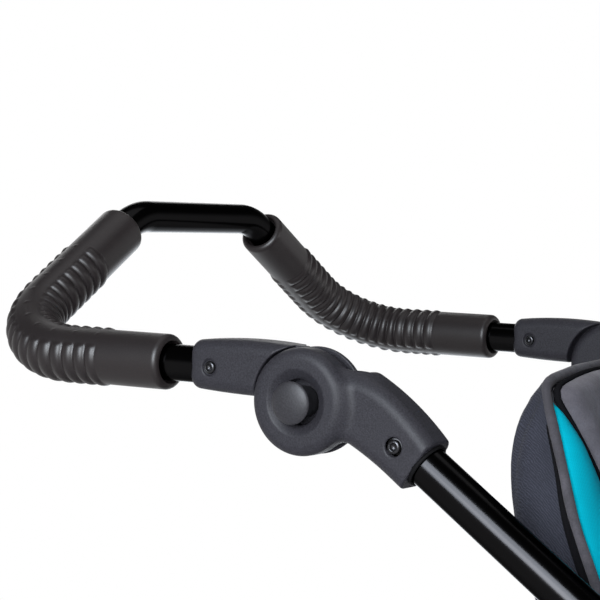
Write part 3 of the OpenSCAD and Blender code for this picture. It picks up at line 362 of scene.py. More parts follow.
def flip(points: Array, side: int) -> Array:
    """Mirrors points to the right side where side is -1."""
    return np.asarray(points, float) * np.array([1.0, side, 1.0])


class Route:
    """Line through corners with round bends, measured along its length."""

    def __init__(self, corners: Sequence[Array], radii: Sequence[float]) -> None:
        """Lays out the straight runs and bends.

        Args:
            corners: The points that the line aims at, ends included.
            radii: The bend radius at each inner corner.
        """
        pts = [np.asarray(c, float) for c in corners]
        dirs = [unit(b - a) for a, b in zip(pts, pts[1:])]
        turn = [math.acos(float(np.clip(a @ b, -1, 1))) for a, b in zip(dirs, dirs[1:])]
        cut = [0.0] + [r * math.tan(t / 2) for r, t in zip(radii, turn)] + [0.0]
        self.parts: list[tuple] = []
        at = 0.0
        for i, d in enumerate(dirs):
            start = pts[i] + d * cut[i]
            run = float(np.linalg.norm(pts[i + 1] - d * cut[i + 1] - start))
            self.parts.append((at, at + run, start, d, None, 0.0))
            at += run
            if i < len(turn):
                inward = unit(dirs[i + 1] - d * (d @ dirs[i + 1]))
                arc = radii[i] * turn[i]
                self.parts.append((at, at + arc, start + d * run, d, inward, radii[i]))
                at += arc
        self.length = at

    def sample(self, s: Array) -> tuple[Array, Array]:
        """Points and directions at places along the line.

        Args:
            s: Distances from the start.

        Returns:
            The points and the unit directions.
        """
        points, heading = np.zeros((len(s), 3)), np.zeros((len(s), 3))
        for i, (a, b, start, d, inward, r) in enumerate(self.parts):
            inside = (s >= a - 1e-9) & (s <= b + 1e-9) if i else s <= b + 1e-9
            if i == len(self.parts) - 1:
                inside |= s > b
            t = (s[inside] - a)[:, None]
            if inward is None:
                points[inside], heading[inside] = start + t * d, d
            else:
                w = t / r
                points[inside] = start + r * (np.sin(w) * d + (1 - np.cos(w)) * inward)
                heading[inside] = np.cos(w) * d + np.sin(w) * inward
        return points, heading


def carried(heading: Array, first: Array) -> Array:
    """Carries a normal along a line without twist.

    Args:
        heading: The line's direction at each point.
        first: A direction to start from.

    Returns:
        A unit normal for each point.
    """
    out = np.zeros_like(heading)
    n = np.asarray(first, float)
    for i, t in enumerate(heading):
        n = unit(n - t * (n @ t))
        out[i] = n
    return out


def swept(route: Route, s: Array, radius: Callable[[Array, Array], Array], first: Array,
          around: int) -> Array:
    """Points of a skin swept along a route.

    Args:
        route: The line.
        s: Places of the rings along it.
        radius: Radius at each place and angle.
        first: The direction of angle zero at the start.
        around: Points in each ring.

    Returns:
        Rings of points.
    """
    points, heading = route.sample(s)
    n = carried(heading, first)
    b = np.cross(heading, n)
    a = full_turn(around)
    r = radius(s[:, None], a[None, :])
    return points[:, None] + r[..., None] * (np.cos(a)[None, :, None] * n[:, None]
                                             + np.sin(a)[None, :, None] * b[:, None])


def tube_mesh(route: Route, r: float, step: float, around: int) -> Mesh:
    """Closed round bar along a route.

    Args:
        route: The line.
        r: The radius.
        step: Distance between rings in a bend.
        around: Points in each ring.

    Returns:
        The points and faces.
    """
    near_end = 0.0004
    s = np.unique(np.concatenate([[near_end, route.length - near_end]] + [
        np.linspace(a, b, 2 if inward is None else max(3, int((b - a) / step)))
        for a, b, _, _, inward, _ in route.parts]).round(7))
    steep = abs(route.parts[0][3][2]) >= 0.9
    rings = swept(route, s, lambda at, _: np.full((len(at), around), r), AHEAD if steep else UP, around)
    return rings.reshape(-1, 3), quads(len(s), around) + end_caps(len(s), around)


def end_caps(rows: int, cols: int) -> Faces:
    """Faces that close the first and the last ring of a tube."""
    return [tuple(range(cols - 1, -1, -1)), tuple(range((rows - 1) * cols, rows * cols))]


def lathe(profile: Sequence[Pair], centre: Array, axis: Array, around: int) -> Mesh:
    """Turned form.

    Args:
        profile: Pairs of radius and height along the axis; a radius of 0 at an end closes it.
        centre: The point at height 0.
        axis: The direction of the axis.
        around: Points in each ring.

    Returns:
        The points and faces.
    """
    z, askew, least_r = unit(axis), (0.31, 0.11, 0.94), 1e-5
    x = unit(np.cross(z, askew if abs(z[2]) < 0.9 else AHEAD))
    y = np.cross(z, x)
    a = full_turn(around)
    ring = np.cos(a)[:, None] * x + np.sin(a)[:, None] * y
    points = np.array([centre + max(r, least_r) * ring + h * z for r, h in profile]).reshape(-1, 3)
    return points, quads(len(profile), around) + end_caps(len(profile), around)


def join(parts: Sequence[Mesh]) -> Mesh:
    """Puts several meshes into one.

    Args:
        parts: Points and faces of each.

    Returns:
        The joined points and faces.
    """
    points, faces, n = [], [], 0
    for p, f in parts:
        points.append(np.asarray(p, float).reshape(-1, 3))
        faces += [tuple(int(i) + n for i in face) for face in f]
        n += len(points[-1])
    return np.concatenate(points), faces


def turned(faces: Sequence, side: int) -> Faces:
    """Faces for a mirrored copy, so that they still face outward."""
    return [tuple(f) if side > 0 else tuple(reversed(tuple(f))) for f in faces]


# Moulded forms, drawn as distance fields


def soft_min(a: Array, b: Array, k: float) -> Array:
    """Joins two forms with a fillet of about k."""
    h = np.clip(0.5 + 0.5 * (b - a) / k, 0.0, 1.0)
    return b + (a - b) * h - k * h * (1 - h)


def soft_max(a: Array, b: Array, k: float) -> Array:
    """Keeps what two forms share, with the edge rounded by about k."""
    return -soft_min(-a, -b, k)


def meet(a: Array, b: Array, r: float) -> Array:
    """Corner between two walls, rounded with radius r."""
    p, q = a + r, b + r
    return np.minimum(np.maximum(p, q), 0.0) + np.hypot(np.maximum(p, 0), np.maximum(q, 0)) - r


def mould(form: Field, low: Array, high: Array, step: float) -> Mesh:
    """Skins a distance field.

    Args:
        form: Distance to the form's surface, negative inside.
        low: Lowest corner of the space to look in.
        high: Highest corner.
        step: Grid spacing.

    Returns:
        The points and faces of the skin.
    """
    low = np.asarray(low, float)
    axes = [np.arange(a, b + step, step) for a, b in zip(low, high)]
    shape = tuple(len(a) for a in axes)
    value = form(np.stack(np.meshgrid(*axes, indexing="ij"), -1).reshape(-1, 3)).reshape(shape)
    inside = value < 0
    corners = [np.array((i, j, k)) for i in (0, 1) for j in (0, 1) for k in (0, 1)]
    count = sum(inside[tuple(slice(c, n - 1 + c) for c, n in zip(corner, shape))].astype(int)
                for corner in corners)
    cells = np.argwhere((count > 0) & (count < 8))
    total, hits = np.zeros((len(cells), 3)), np.zeros(len(cells))
    for a in corners:
        for axis in range(3):
            if a[axis]:
                continue
            b = a.copy()
            b[axis] = 1
            va, vb = value[tuple((cells + a).T)], value[tuple((cells + b).T)]
            cross = (va < 0) != (vb < 0)
            t = np.where(cross, va / np.where(cross, va - vb, 1.0), 0.0)
            total += cross[:, None] * (a + t[:, None] * (b - a))
            hits += cross
    points = low + step * (cells + total / hits[:, None])
    index = -np.ones(count.shape, int)
    index[tuple(cells.T)] = np.arange(len(cells))
    faces: Faces = []
    for axis in range(3):
        u, v = (axis + 1) % 3, (axis + 2) % 3
        first = np.take(inside, range(shape[axis] - 1), axis)
        second = np.take(inside, range(1, shape[axis]), axis)
        at = np.argwhere(first != second)
        at = at[(at[:, u] > 0) & (at[:, v] > 0) & (at[:, u] < shape[u] - 1) & (at[:, v] < shape[v] - 1)]
        eu, ev = np.eye(3, dtype=int)[u], np.eye(3, dtype=int)[v]
        ring = np.stack([index[tuple((at - o).T)] for o in (0 * eu, eu, eu + ev, ev)], 1)
        out = first[tuple(at.T)]
        faces += [tuple(r) if o else tuple(r[::-1]) for r, o in zip(ring.tolist(), out)]
    for _ in range(3):
        points = drawn_on(form, points, step)
    return points, faces


def drawn_on(form: Field, points: Array, step: float) -> Array:
    """Moves points closer to a distance field's surface.

    Args:
        form: Distance to the surface.
        points: Points near it.
        step: Grid spacing that the points came from, which limits the move.

    Returns:
        The moved points.
    """
    near, reach, least_slope = step * 0.15, step * 0.6, 0.2
    slope = np.stack([(form(points + near * e) - form(points - near * e)) / (2 * near) for e in np.eye(3)], 1)
    move = (form(points) / np.maximum((slope ** 2).sum(1), least_slope))[:, None] * slope
    size = np.linalg.norm(move, axis=1, keepdims=True)
    return points - move * np.minimum(1.0, reach / np.maximum(size, 1e-12))


# The stroller's main places


@dataclass(frozen=True)
class Layout:
    """Main places of the stroller."""

    hinge_x: float = -0.33495
    hinge_z: float = 0.930
    half: float = 0.250
    arm_lift: float = 0.018
    arm_rise: float = math.radians(2.2)
    slope: float = math.radians(37.4)
    tube_lift: float = 0.0224
    bend_at: float = 0.640
    steer_x: float = 0.520
    nose_aim: float = 0.367

    def hinge(self, side: int = 1) -> Array:
        """Middle of a hinge."""
        return np.array([self.hinge_x, side * self.half, self.hinge_z])

    def arm(self, behind: float, side: int = 1) -> Array:
        """Point on a handle arm's axis at a distance behind the hinge."""
        rise = self.arm_lift + behind * math.tan(self.arm_rise)
        return np.array([self.hinge_x - behind, side * self.half, self.hinge_z + rise])

    def tube_height(self, ahead: Array | float) -> Array | float:
        """Height of a main tube's axis at distances ahead of the hinge."""
        return self.hinge_z + self.tube_lift / math.cos(self.slope) - ahead * math.tan(self.slope)

    def tube(self, ahead: float, side: int = 1) -> Array:
        """Point on a main tube's axis at a distance ahead of the hinge."""
        return np.array([self.hinge_x + ahead, side * self.half, self.tube_height(ahead)])

    def foot(self, along: float, side: int = 1) -> Array:
        """Point on a main tube's axis at a distance along it from its point nearest to the hinge."""
        return self.hinge(side) + self.tube_lift * self.tube_up() + self.tube_dir() * along

    def tube_dir(self) -> Array:
        """Direction of the main tubes, forward and down."""
        return np.array([math.cos(self.slope), 0.0, -math.sin(self.slope)])

    def tube_up(self) -> Array:
        """Direction square to the main tubes, forward and up."""
        return np.array([math.sin(self.slope), 0.0, math.cos(self.slope)])


PLACE = Layout()


@dataclass
class Handlebar:
    """Bent handle tube with a ribbed grip at each side.

    The smooth band on top of a grip and the one under it are angles from its top. A nub is its reach along
    and across the grip and its height, a seam its reach and its depth, and a mouth the radii and depths of
    the rings that turn a grip's end in to the tube.
    """

    tube_r: float = 0.013
    tube_start: float = 0.050
    reach: float = 0.274
    cross_rise: float = 0.129
    cross_half: float = 0.0834
    low_bend: float = 0.068
    high_bend: float = 0.060
    grip_r: float = 0.0198
    grip_start: float = 0.117
    grip_stop: float = 0.004
    plain: float = 0.050
    rib_pitch: float = 0.0103
    rib_width: float = 0.0088
    rib_height: float = 0.0014
    valley: float = 0.0008
    fade: Pair = (0.002, 0.006)
    rim: float = 0.0042
    band: Pair = (math.radians(29), math.radians(29) + 0.16)
    under: Pair = (2.75, 2.95)
    nub: Triple = (0.0013, 0.0014, 0.0006)
    seam: Pair = (0.02, 0.00022)
    mouth: tuple = ((0.0155, 0.0), (0.0151, 0.0004), (0.0148, 0.005), (0.01305, 0.0052))
    ring_step: float = 0.00086
    around: int = 96

    def high(self, side: int) -> Array:
        """Upper corner of the handle."""
        return np.array([PLACE.hinge_x - self.reach, side * self.cross_half, PLACE.hinge_z + self.cross_rise])

    def build(self) -> None:
        """Makes the tube and both grips."""
        left = [PLACE.arm(self.tube_start), PLACE.arm(self.reach), self.high(1)]
        route = Route(left + [flip(p, -1) for p in reversed(left)],
                      [self.low_bend, self.high_bend, self.high_bend, self.low_bend])
        points, faces = tube_mesh(route, self.tube_r, 0.002, 72)
        add_piece("handle_tube_bent", points, faces, BLACK_PAINT, "handle", ["handlebar_tube"])
        points, faces = self.grip()
        for name, side in SIDES.items():
            add_piece(f"grip_foam_{name}", flip(points, side), turned(faces, side), GRIP_FOAM, "handle",
                      [f"grip_{name}"])

    def grip_shape(self, length: float) -> Callable[[Array, Array], Array]:
        """Shape of a grip with its ribs, smooth band and nubs.

        Args:
            length: The grip's length.

        Returns:
            A function that gives the radius for places along the grip and angles from its top.
        """
        count = int((length - 2 * self.plain) / self.rib_pitch)
        start = (length - (count - 1) * self.rib_pitch) / 2
        short, far = self.fade
        nub_long, nub_wide, nub_high = self.nub
        seam_wide, seam_deep = self.seam

        def radius(at: Array, a: Array) -> Array:
            """Radius of the grip.

            Args:
                at: Places along the grip.
                a: Angles from its top.

            Returns:
                One radius for each pair of place and angle.
            """
            near = np.clip(np.minimum(at, length - at), 0, self.rim)
            r = self.grip_r - self.rim + np.sqrt(np.maximum(self.rim ** 2 - (self.rim - near) ** 2, 0.0))
            k = np.clip(np.round((at - start) / self.rib_pitch), 0, count - 1)
            off = np.abs(at - start - k * self.rib_pitch)
            rib = np.maximum(1 - (2 * off / self.rib_width) ** 2, 0) ** 0.7
            angle = np.abs((a + math.pi) % (2 * math.pi) - math.pi)
            sides = smooth_step(*self.band, angle) * (1 - smooth_step(*self.under, angle))
            zone = smooth_step(start - far, start - short, at) * (
                1 - smooth_step(length - start + short, length - start + far, at))
            nub = np.exp(-((off / nub_long) ** 2 + (angle * self.grip_r / nub_wide) ** 2)) * (k % 2 == 0)
            seam = np.exp(-((angle - self.band[0]) / seam_wide) ** 2)
            return (r + zone * sides * (rib * (self.rib_height + self.valley) - self.valley)
                    + zone * (nub_high * nub - seam_deep * seam))

        return radius

    def grip(self) -> Mesh:
        """Skin of the left grip.

        Returns:
            The points and faces.
        """
        low, high = PLACE.arm(self.reach), self.high(1)
        slant, arm = unit(high - low), unit(low - PLACE.arm(self.grip_start))
        cut = self.high_bend * math.tan(math.acos(float(slant @ -LEFT)) / 2)
        stop = high - slant * (self.grip_stop + cut)
        route = Route([PLACE.arm(self.grip_start), low, stop], [self.low_bend])
        top = unit(np.cross(slant, arm))
        top = top if top[2] > 0 else -top
        ends = self.rim * (1 - np.cos(np.linspace(0, math.pi / 2, 7)))
        run = np.arange(self.rim, route.length - self.rim, self.ring_step)
        s = np.unique(np.concatenate([ends, run, route.length - ends]).round(7))
        rings = swept(route, s, self.grip_shape(route.length), top, self.around)
        inner = []
        a = full_turn(self.around)
        for at, heading in ((0, -1), (len(s) - 1, 1)):
            (p,), (t,) = route.sample(s[[at]])
            n = unit(top - t * (top @ t))
            ring = np.cos(a)[:, None] * n + np.sin(a)[:, None] * np.cross(t, n)
            inner.append([p + r * ring - heading * depth * t for r, depth in self.mouth])
        rows = np.array(inner[0][::-1] + list(rings) + inner[1])
        return rows.reshape(-1, 3), quads(len(rows), self.around)


@dataclass(frozen=True)
class Housing:
    """Sizes of one hinge housing.

    Places along it start at the hinge and follow the tube that it holds. Its back and its belly are
    parabolas: a height, where along the housing that height is, and how sharply it curves away.
    """

    half: float
    flare: float
    flare_span: Pair
    back: Triple
    belly: Triple
    edge: float
    end: float
    end_edge: float
    bore: Pair
    mouth_r: float
    mouth_deep: float
    mouth_edge: float
    bolt_at: float
    bolt_r: float
    recess_r: float
    recess_floor: float = 0.0143
    recess_edge: float = 0.0007

    def block(self, along: Array, height: Array, v: Array) -> Array:
        """Distance to the rounded block, before its cuts.

        Args:
            along: Places along the housing.
            height: Distance to its back and belly, negative between them.
            v: Places outboard.

        Returns:
            One distance for each place.
        """
        start, stop = self.flare_span
        wall = np.abs(v) - self.half - self.flare * np.clip((along - start) / (stop - start), 0.0, 1.0)
        return meet(meet(height, wall, self.edge), along - self.end, self.end_edge)

    def bored(self, form: Array, along: Array, over: Array, v: Array) -> Array:
        """Cuts the tube's bore, its mouth and the recesses of the bolts.

        Args:
            form: Distance to the housing before the cuts.
            along: Places along the housing.
            over: Places over the tube's axis.
            v: Places outboard.

        Returns:
            Distance to the housing with its cuts.
        """
        tube = np.hypot(over, v)
        bore_r, bore_from = self.bore
        form = np.maximum(form, -np.maximum(tube - bore_r, bore_from - along))
        mouth = np.maximum(tube - self.mouth_r, self.end - self.mouth_deep - along)
        form = soft_max(form, -mouth, self.mouth_edge)
        bolt = np.hypot(along - self.bolt_at, over)
        recess = np.maximum(bolt - self.recess_r, self.recess_floor - np.abs(v))
        return soft_max(form, -recess, self.recess_edge)


LOWER = Housing(half=0.0153, flare=0.0015, flare_span=(0.016, 0.092), back=(0.0464, 0.050, 2.7),
                belly=(0.0017, 0.080, 2.2), edge=0.0098, end=0.0925, end_edge=0.0014, bore=(0.0145, 0.038),
                mouth_r=0.0157, mouth_deep=0.0032, mouth_edge=0.0006, bolt_at=0.073, bolt_r=0.0047,
                recess_r=0.0064)
UPPER = Housing(half=0.0158, flare=0.0012, flare_span=(0.0916, 0.0256), back=(0.0205, 0.047, 1.35),
                belly=(-0.0177, 0.036, 0.7), edge=0.0092, end=0.0916, end_edge=0.0060, bore=(0.0132, 0.050),
                mouth_r=0.0140, mouth_deep=0.0022, mouth_edge=0.0005, bolt_at=0.074, bolt_r=0.0044,
                recess_r=0.0058)


@dataclass
class HingeSet:
    """Round hinge housings on both sides, with their bolts, collars and release buttons.

    The lower housing leans back on its outboard side, where its back curves more and its root reaches further
    under the disc. Spaces are the lowest and highest corners of the boxes that the housings are moulded in.
    """

    disc_r: float = 0.0364
    disc_out: float = 0.0226
    disc_in: float = 0.0145
    disc_round: float = 0.0080
    lean_curve: float = 6.3
    root: float = 0.0185
    root_lean: float = 0.020
    root_edge: float = 0.0090
    belly_run: float = 0.06
    neck: float = 0.0080
    slot: float = 0.0053
    slot_r: float = 0.0370
    tongue_r: float = 0.033
    tongue_half: float = 0.005
    boss_r: float = 0.020
    boss_back: float = 0.003
    boss_past: float = 0.001
    boss_gap: float = 0.0010
    dish_r: float = 0.0224
    dish_depth: float = 0.0046
    dish_wide: float = 0.0066
    hole_r: float = 0.0156
    hole_floor: float = 0.009
    gap_r: float = 0.0380
    fine: float = 0.0006
    bolt_seat: float = 0.0145
    socket_r: float = 0.0028
    button_r: float = 0.0143
    button_top: float = 0.0318
    button_crown: float = 0.0030
    button_bow: float = 1.25
    button_foot: float = 0.0085
    collar: tuple = ((0.0145, -0.001), (0.0162, -0.001), (0.0164, 0.0014), (0.0160, 0.0021), (0.0152, 0.0021),
                     (0.0145, 0.0010), (0.0145, -0.001))
    lower_space: tuple = ((-0.040, -0.0185, -0.064), (0.106, 0.0265, 0.064))
    upper_space: tuple = ((-0.101, -0.0195, -0.038), (0.038, 0.0195, 0.048))
    step: float = 0.0010

    def frame_form(self, p: Array) -> Array:
        """Distance to the lower housing, with the hinge at the origin and outboard along +Y.

        Args:
            p: Places, three numbers each.

        Returns:
            One distance for each place.
        """
        x, v, z = p.T
        c, s = math.cos(PLACE.slope), math.sin(PLACE.slope)
        along, up, around = x * c - z * s, x * s + z * c, np.hypot(x, z)
        disc = meet(around - self.disc_r, np.maximum(-self.disc_in - v, v - self.disc_out), self.disc_round)
        lean = np.clip(v / LOWER.half, 0.0, 1.0)
        high, crest, curve = LOWER.back
        top = high - np.where(along < crest, curve + self.lean_curve * lean, curve) * (along - crest) ** 2
        deep, flat, curve = LOWER.belly
        low = deep - curve * np.clip(flat - along, 0, self.belly_run) ** 2
        body = LOWER.block(along, np.maximum(up - top, low - up), v)
        body = meet(body, self.root - self.root_lean * lean - along, self.root_edge)
        form = soft_min(disc, body, self.neck)
        form = soft_max(form, -np.maximum(np.abs(v) - self.slot, around - self.slot_r), self.fine)
        inner = np.maximum(self.boss_back - self.disc_in - v, v - self.slot - self.boss_past)
        form = np.minimum(form, np.maximum(around - self.boss_r, inner))
        cone = self.disc_out - self.dish_depth * np.clip((self.dish_r - around) / self.dish_wide, 0.0, 1.0)
        form = soft_max(form, -np.maximum(around - self.dish_r, 0.9 * (cone - v)), 0.0005)
        form = soft_max(form, -np.maximum(around - self.hole_r, self.hole_floor - v), self.fine)
        return LOWER.bored(form, along, up - PLACE.tube_lift, v)

    def arm_form(self, p: Array) -> Array:
        """Distance to the upper housing, with the hinge at the origin and outboard along +Y.

        Args:
            p: Places, three numbers each.

        Returns:
            One distance for each place.
        """
        x, v, z = p.T
        c, s = math.cos(PLACE.arm_rise), math.sin(PLACE.arm_rise)
        along = -x * c + (z - PLACE.arm_lift) * s
        up = x * s + (z - PLACE.arm_lift) * c
        around = np.hypot(x, z)
        high, crest, curve = UPPER.back
        top = high - curve * (along - crest) ** 2
        deep, flat, curve = UPPER.belly
        low = deep + curve * (along - flat) ** 2
        body = np.maximum(UPPER.block(along, np.maximum(up - top, low - up), v), 0.005 - along)
        body = soft_max(body, -np.maximum(self.slot - self.fine - np.abs(v), around - self.gap_r), 0.0009)
        form = np.minimum(body, np.maximum(around - self.tongue_r, np.abs(v) - self.tongue_half))
        form = np.maximum(form, self.boss_r + self.boss_gap - around)
        return UPPER.bored(form, along, up, v)

    def bolt(self, at: Array, out: Array, r: float) -> Mesh:
        """Socket bolt head.

        Args:
            at: The middle of the head's seat.
            out: The direction that the head faces.
            r: The head's radius.

        Returns:
            The points and faces.
        """
        around, sixth = 36, math.pi / 3
        a = full_turn(around)
        six = self.socket_r * math.cos(sixth / 2) / np.cos((a + sixth / 2) % sixth - sixth / 2)
        x, z = AHEAD, np.cross(AHEAD, out)
        profile = ((r, -0.001), (r, 0.0012), (r - 0.0005, 0.0019), (r - 0.0014, 0.0022),
                   (six + 0.0003, 0.0022), (six, 0.0019), (six, 0.0003), (six * 0.02, 0.0))
        rows = [at + out * height + (radius * np.cos(a))[:, None] * x + (radius * np.sin(a))[:, None] * z
                for radius, height in profile]
        return np.array(rows).reshape(-1, 3), turned(quads(len(rows), around), 1 if out[1] < 0 else -1)

    def button(self) -> list[Pair]:
        """Profile of a release button from the middle of its crown to its foot.

        Returns:
            Pairs of radius and height.
        """
        r, top, bow = self.button_r, self.button_top, self.button_bow
        wide, deep = r / math.sin(bow), self.button_crown / (1 - math.cos(bow))
        crown = [(wide * math.sin(a), top - deep * (1 - math.cos(a))) for a in np.linspace(0, bow, 9)]
        rim = [(r + 0.0003, top - 0.0037), (r, top - 0.0044), (r - 0.0008, top - 0.0050),
               (r - 0.0030, top - 0.0074)]
        stem = [(r - 0.0036, 0.0120), (r - 0.0036, self.button_foot), (0.0, self.button_foot)]
        return crown + rim + stem

    def build(self) -> None:
        """Makes housings, buttons, collars and bolts on both sides."""
        skins = {"frame": mould(self.frame_form, *self.lower_space, self.step),
                 "handle": mould(self.arm_form, *self.upper_space, self.step)}
        for name, side in SIDES.items():
            hinge = PLACE.hinge(side)
            for body, (points, faces) in skins.items():
                add_piece(f"{body}_knuckle_housing_{name}", flip(points, side) + hinge, turned(faces, side),
                          HOUSING, body, [f"{body}_knuckle_{name}"])
            points, faces = lathe(self.button(), hinge, side * LEFT, 64)
            add_piece(f"release_button_{name}", points, turned(faces, -1), BUTTON, f"button_{name}",
                      [f"hinge_button_{name}"])
            points, faces = lathe(self.collar, PLACE.foot(LOWER.end, side), PLACE.tube_dir(), 56)
            add_piece(f"tube_collar_{name}", points, faces[:-2], GASKET, "frame")
        self.bolts("frame_bolts", "frame", PLACE.foot(LOWER.bolt_at), LOWER.bolt_r)
        self.bolts("handle_bolts", "handle", PLACE.arm(UPPER.bolt_at), UPPER.bolt_r)

    def bolts(self, node: str, body: str, at: Array, r: float) -> None:
        """Makes the bolts of both lower or both upper housings.

        Args:
            node: The CAD node that they stand for.
            body: The body that they move with.
            at: The middle of the left housing's bolts.
            r: The heads' radius.
        """
        made = [self.bolt(flip(at, side) + out * self.bolt_seat * LEFT, out * LEFT, r)
                for side in SIDES.values() for out in (1, -1)]
        points, faces = join(made)
        add_piece(f"{node}_socket", points, faces, BOLT, body, [node])


@dataclass
class MainFrame:
    """Sloping main tubes."""

    tube_r: float = 0.0143
    bend: float = 0.120
    tail: float = 0.038
    nose_gap: float = 0.036

    def build(self) -> None:
        """Makes both tubes."""
        nose = np.array([PLACE.steer_x, 0.0, PLACE.nose_aim])
        for name, side in SIDES.items():
            corner = PLACE.tube(PLACE.bend_at, side)
            end = nose - unit(nose - corner) * self.nose_gap
            route = Route([PLACE.foot(self.tail, side), corner, end], [self.bend])
            points, faces = tube_mesh(route, self.tube_r, 0.003, 72)
            add_piece(f"main_tube_drawn_{name}", points, faces, BLACK_PAINT, "frame",
                      [f"main_tube_{name}"])


# Soft goods


@dataclass(frozen=True)
class Spot:
    """Place of a flat piece: its middle, and its directions across, along and outward."""

    middle: Array
    across: Array
    along: Array
    out: Array

    def world(self, p: Array) -> Array:
        """Turns places on the piece into places in the part's frame."""
        p = np.asarray(p, float)
        return self.middle + p[..., :1] * self.across + p[..., 1:2] * self.along + p[..., 2:3] * self.out


BACK_LEAN = math.radians(18.7)
BACK_UP = np.array([-math.sin(BACK_LEAN), 0.0, math.cos(BACK_LEAN)])
BACK_OUT = np.array([math.cos(BACK_LEAN), 0.0, math.sin(BACK_LEAN)])
RECLINE_PIN = np.array([-0.07995, 0.0, 0.505])
BACK_FROM_PIN = 0.021 * BACK_OUT + 0.241 * BACK_UP
BACK = Spot(RECLINE_PIN + BACK_FROM_PIN, LEFT, BACK_UP, BACK_OUT)
SEAT_REAR = np.array([-0.04995, 0.0, 0.478])
SEAT_AHEAD = unit(np.array([0.230, 0.0, 0.030]))
SEAT_UP = np.array([-SEAT_AHEAD[2], 0.0, SEAT_AHEAD[0]])
SEAT_FROM_REAR = 0.0123 * SEAT_UP + 0.132 * SEAT_AHEAD
SEAT = Spot(SEAT_REAR + SEAT_FROM_REAR, -LEFT, SEAT_AHEAD, SEAT_UP)
BELT_HALF = 0.0125
BELT_THICK = 0.002


def closed_curve(half: Sequence[Pair], count: int) -> Array:
    """Smooth closed outline from one half of it.

    Args:
        half: Points from the top middle down to the bottom middle.
        count: Points wanted, evenly spread.

    Returns:
        Points of the whole outline, from the top middle.
    """
    given = np.array(half, float)
    loop = np.concatenate([given, (given * [-1, 1])[-2:0:-1]])
    t = np.linspace(0, 1, 12, endpoint=False)[:, None]
    fine = []
    for i in range(len(loop)):
        a, b, c, d = (loop[(i + k) % len(loop)] for k in (-1, 0, 1, 2))
        fine.append(0.5 * (2 * b + (c - a) * t + (2 * a - 5 * b + 4 * c - d) * t ** 2
                           + (3 * b - a - 3 * c + d) * t ** 3))
    line = np.concatenate(fine + [loop[:1]])
    far = np.concatenate([[0], np.cumsum(np.linalg.norm(np.diff(line, axis=0), axis=1))])
    at = np.linspace(0, far[-1], count, endpoint=False)
    return np.stack([np.interp(at, far, line[:, k]) for k in (0, 1)], 1)


def width_at(side: Sequence[Pair], y: Array) -> Array:
    """Sideways places at some heights, on a line given by points from the top down."""
    x, high = np.array(side[::-1]).T
    return np.interp(y, high, x)


def outward(outline: Array) -> Array:
    """Outward unit normals of a closed outline.

    Args:
        outline: Points in a plane, round the origin.

    Returns:
        One normal for each point.
    """
    ahead = np.roll(outline, -1, 0) - np.roll(outline, 1, 0)
    normal = np.stack([ahead[:, 1], -ahead[:, 0]], 1)
    normal /= np.linalg.norm(normal, axis=1, keepdims=True)
    return normal * np.sign((normal * outline).sum(1).sum())


def inset(points: Array, outline: Array) -> Array:
    """Distance of points from an outline, in its plane.

    Args:
        points: Places, two numbers each.
        outline: Points of the closed outline.

    Returns:
        One distance for each place.
    """
    flat = points.reshape(-1, 2)
    best = np.full(len(flat), np.inf)
    for a, b in zip(outline, np.roll(outline, -1, 0)):
        ab = b - a
        t = np.clip(((flat - a) @ ab) / (ab @ ab), 0, 1)[:, None]
        best = np.minimum(best, np.linalg.norm(flat - a - t * ab, axis=1))
    return best.reshape(points.shape[:-1])


def dome(outline: Array, heart: Sequence[float], rows: int, power: float = 1.6) -> Array:
    """Rows of places from an outline in to a point, closer to the outline for a higher power."""
    g = np.linspace(0, 0.985, rows)[:, None, None] ** power
    return np.asarray(heart) + (outline[None] - heart) * (1 - g)


def two_sided(front: Array, back: Array) -> Mesh:
    """Closed skin from two domes that share their outline.

    Args:
        front: Rows of points from the outline in, on the outer face.
        back: Rows of points from the same outline in, on the inner face.

    Returns:
        The points and faces.
    """
    rows, cols = front.shape[:2]
    more = len(back) - 1
    near = [f[::-1] for f in quads(rows, cols) + [tuple(range((rows - 1) * cols, rows * cols))]]
    ids = np.append(np.arange(cols), rows * cols + np.arange(more * cols)).reshape(more + 1, cols)
    after = np.roll(ids, -1, 1)
    far = [f for i in range(more) for f in zip(ids[i], after[i], after[i + 1], ids[i + 1])]
    points = np.concatenate([front.reshape(-1, 3), back[1:].reshape(-1, 3)])
    return points, near + far + [tuple(ids[-1])]


def soft_tube(points: Array, side: Array, out: Array, wide: float, thick: float, around: int,
              closed: bool = True) -> Mesh:
    """Soft tube along a line.

    Args:
        points: The line.
        side: Direction of its width, for all points or for each.
        out: Direction of its thickness, for all points or for each.
        wide: Half its width.
        thick: Half its thickness.
        around: Points in each ring.
        closed: Whether the line closes on itself.

    Returns:
        The points and faces.
    """
    a = full_turn(around)[:, None]
    side, out = (np.broadcast_to(d, points.shape)[:, None] for d in (side, out))
    rows = points[:, None] + wide * np.cos(a) * side + thick * np.sin(a) * out
    return rows.reshape(-1, 3), quads(len(rows), around, ring=closed)


def cloth(rows: Array, depth: Array) -> Mesh:
    """Closed thin sheet from a grid of points.

    Args:
        rows: The outer face.
        depth: How far each point is from the inner face, as a vector.

    Returns:
        The points and faces.
    """
    n, m = rows.shape[:2]
    faces = quads(n, m, wrap=False)
    under = [tuple(n * m + i for i in f[::-1]) for f in faces]
    rim = [i * m for i in range(n - 1, -1, -1)] + list(range(1, m)) + [i * m + m - 1 for i in range(1, n)] + [
        (n - 1) * m + j for j in range(m - 2, 0, -1)]
    walls = [(a, b, n * m + b, n * m + a) for a, b in zip(rim[1:] + rim[:1], rim)]
    return np.concatenate([rows.reshape(-1, 3), (rows - depth).reshape(-1, 3)]), faces + under + walls


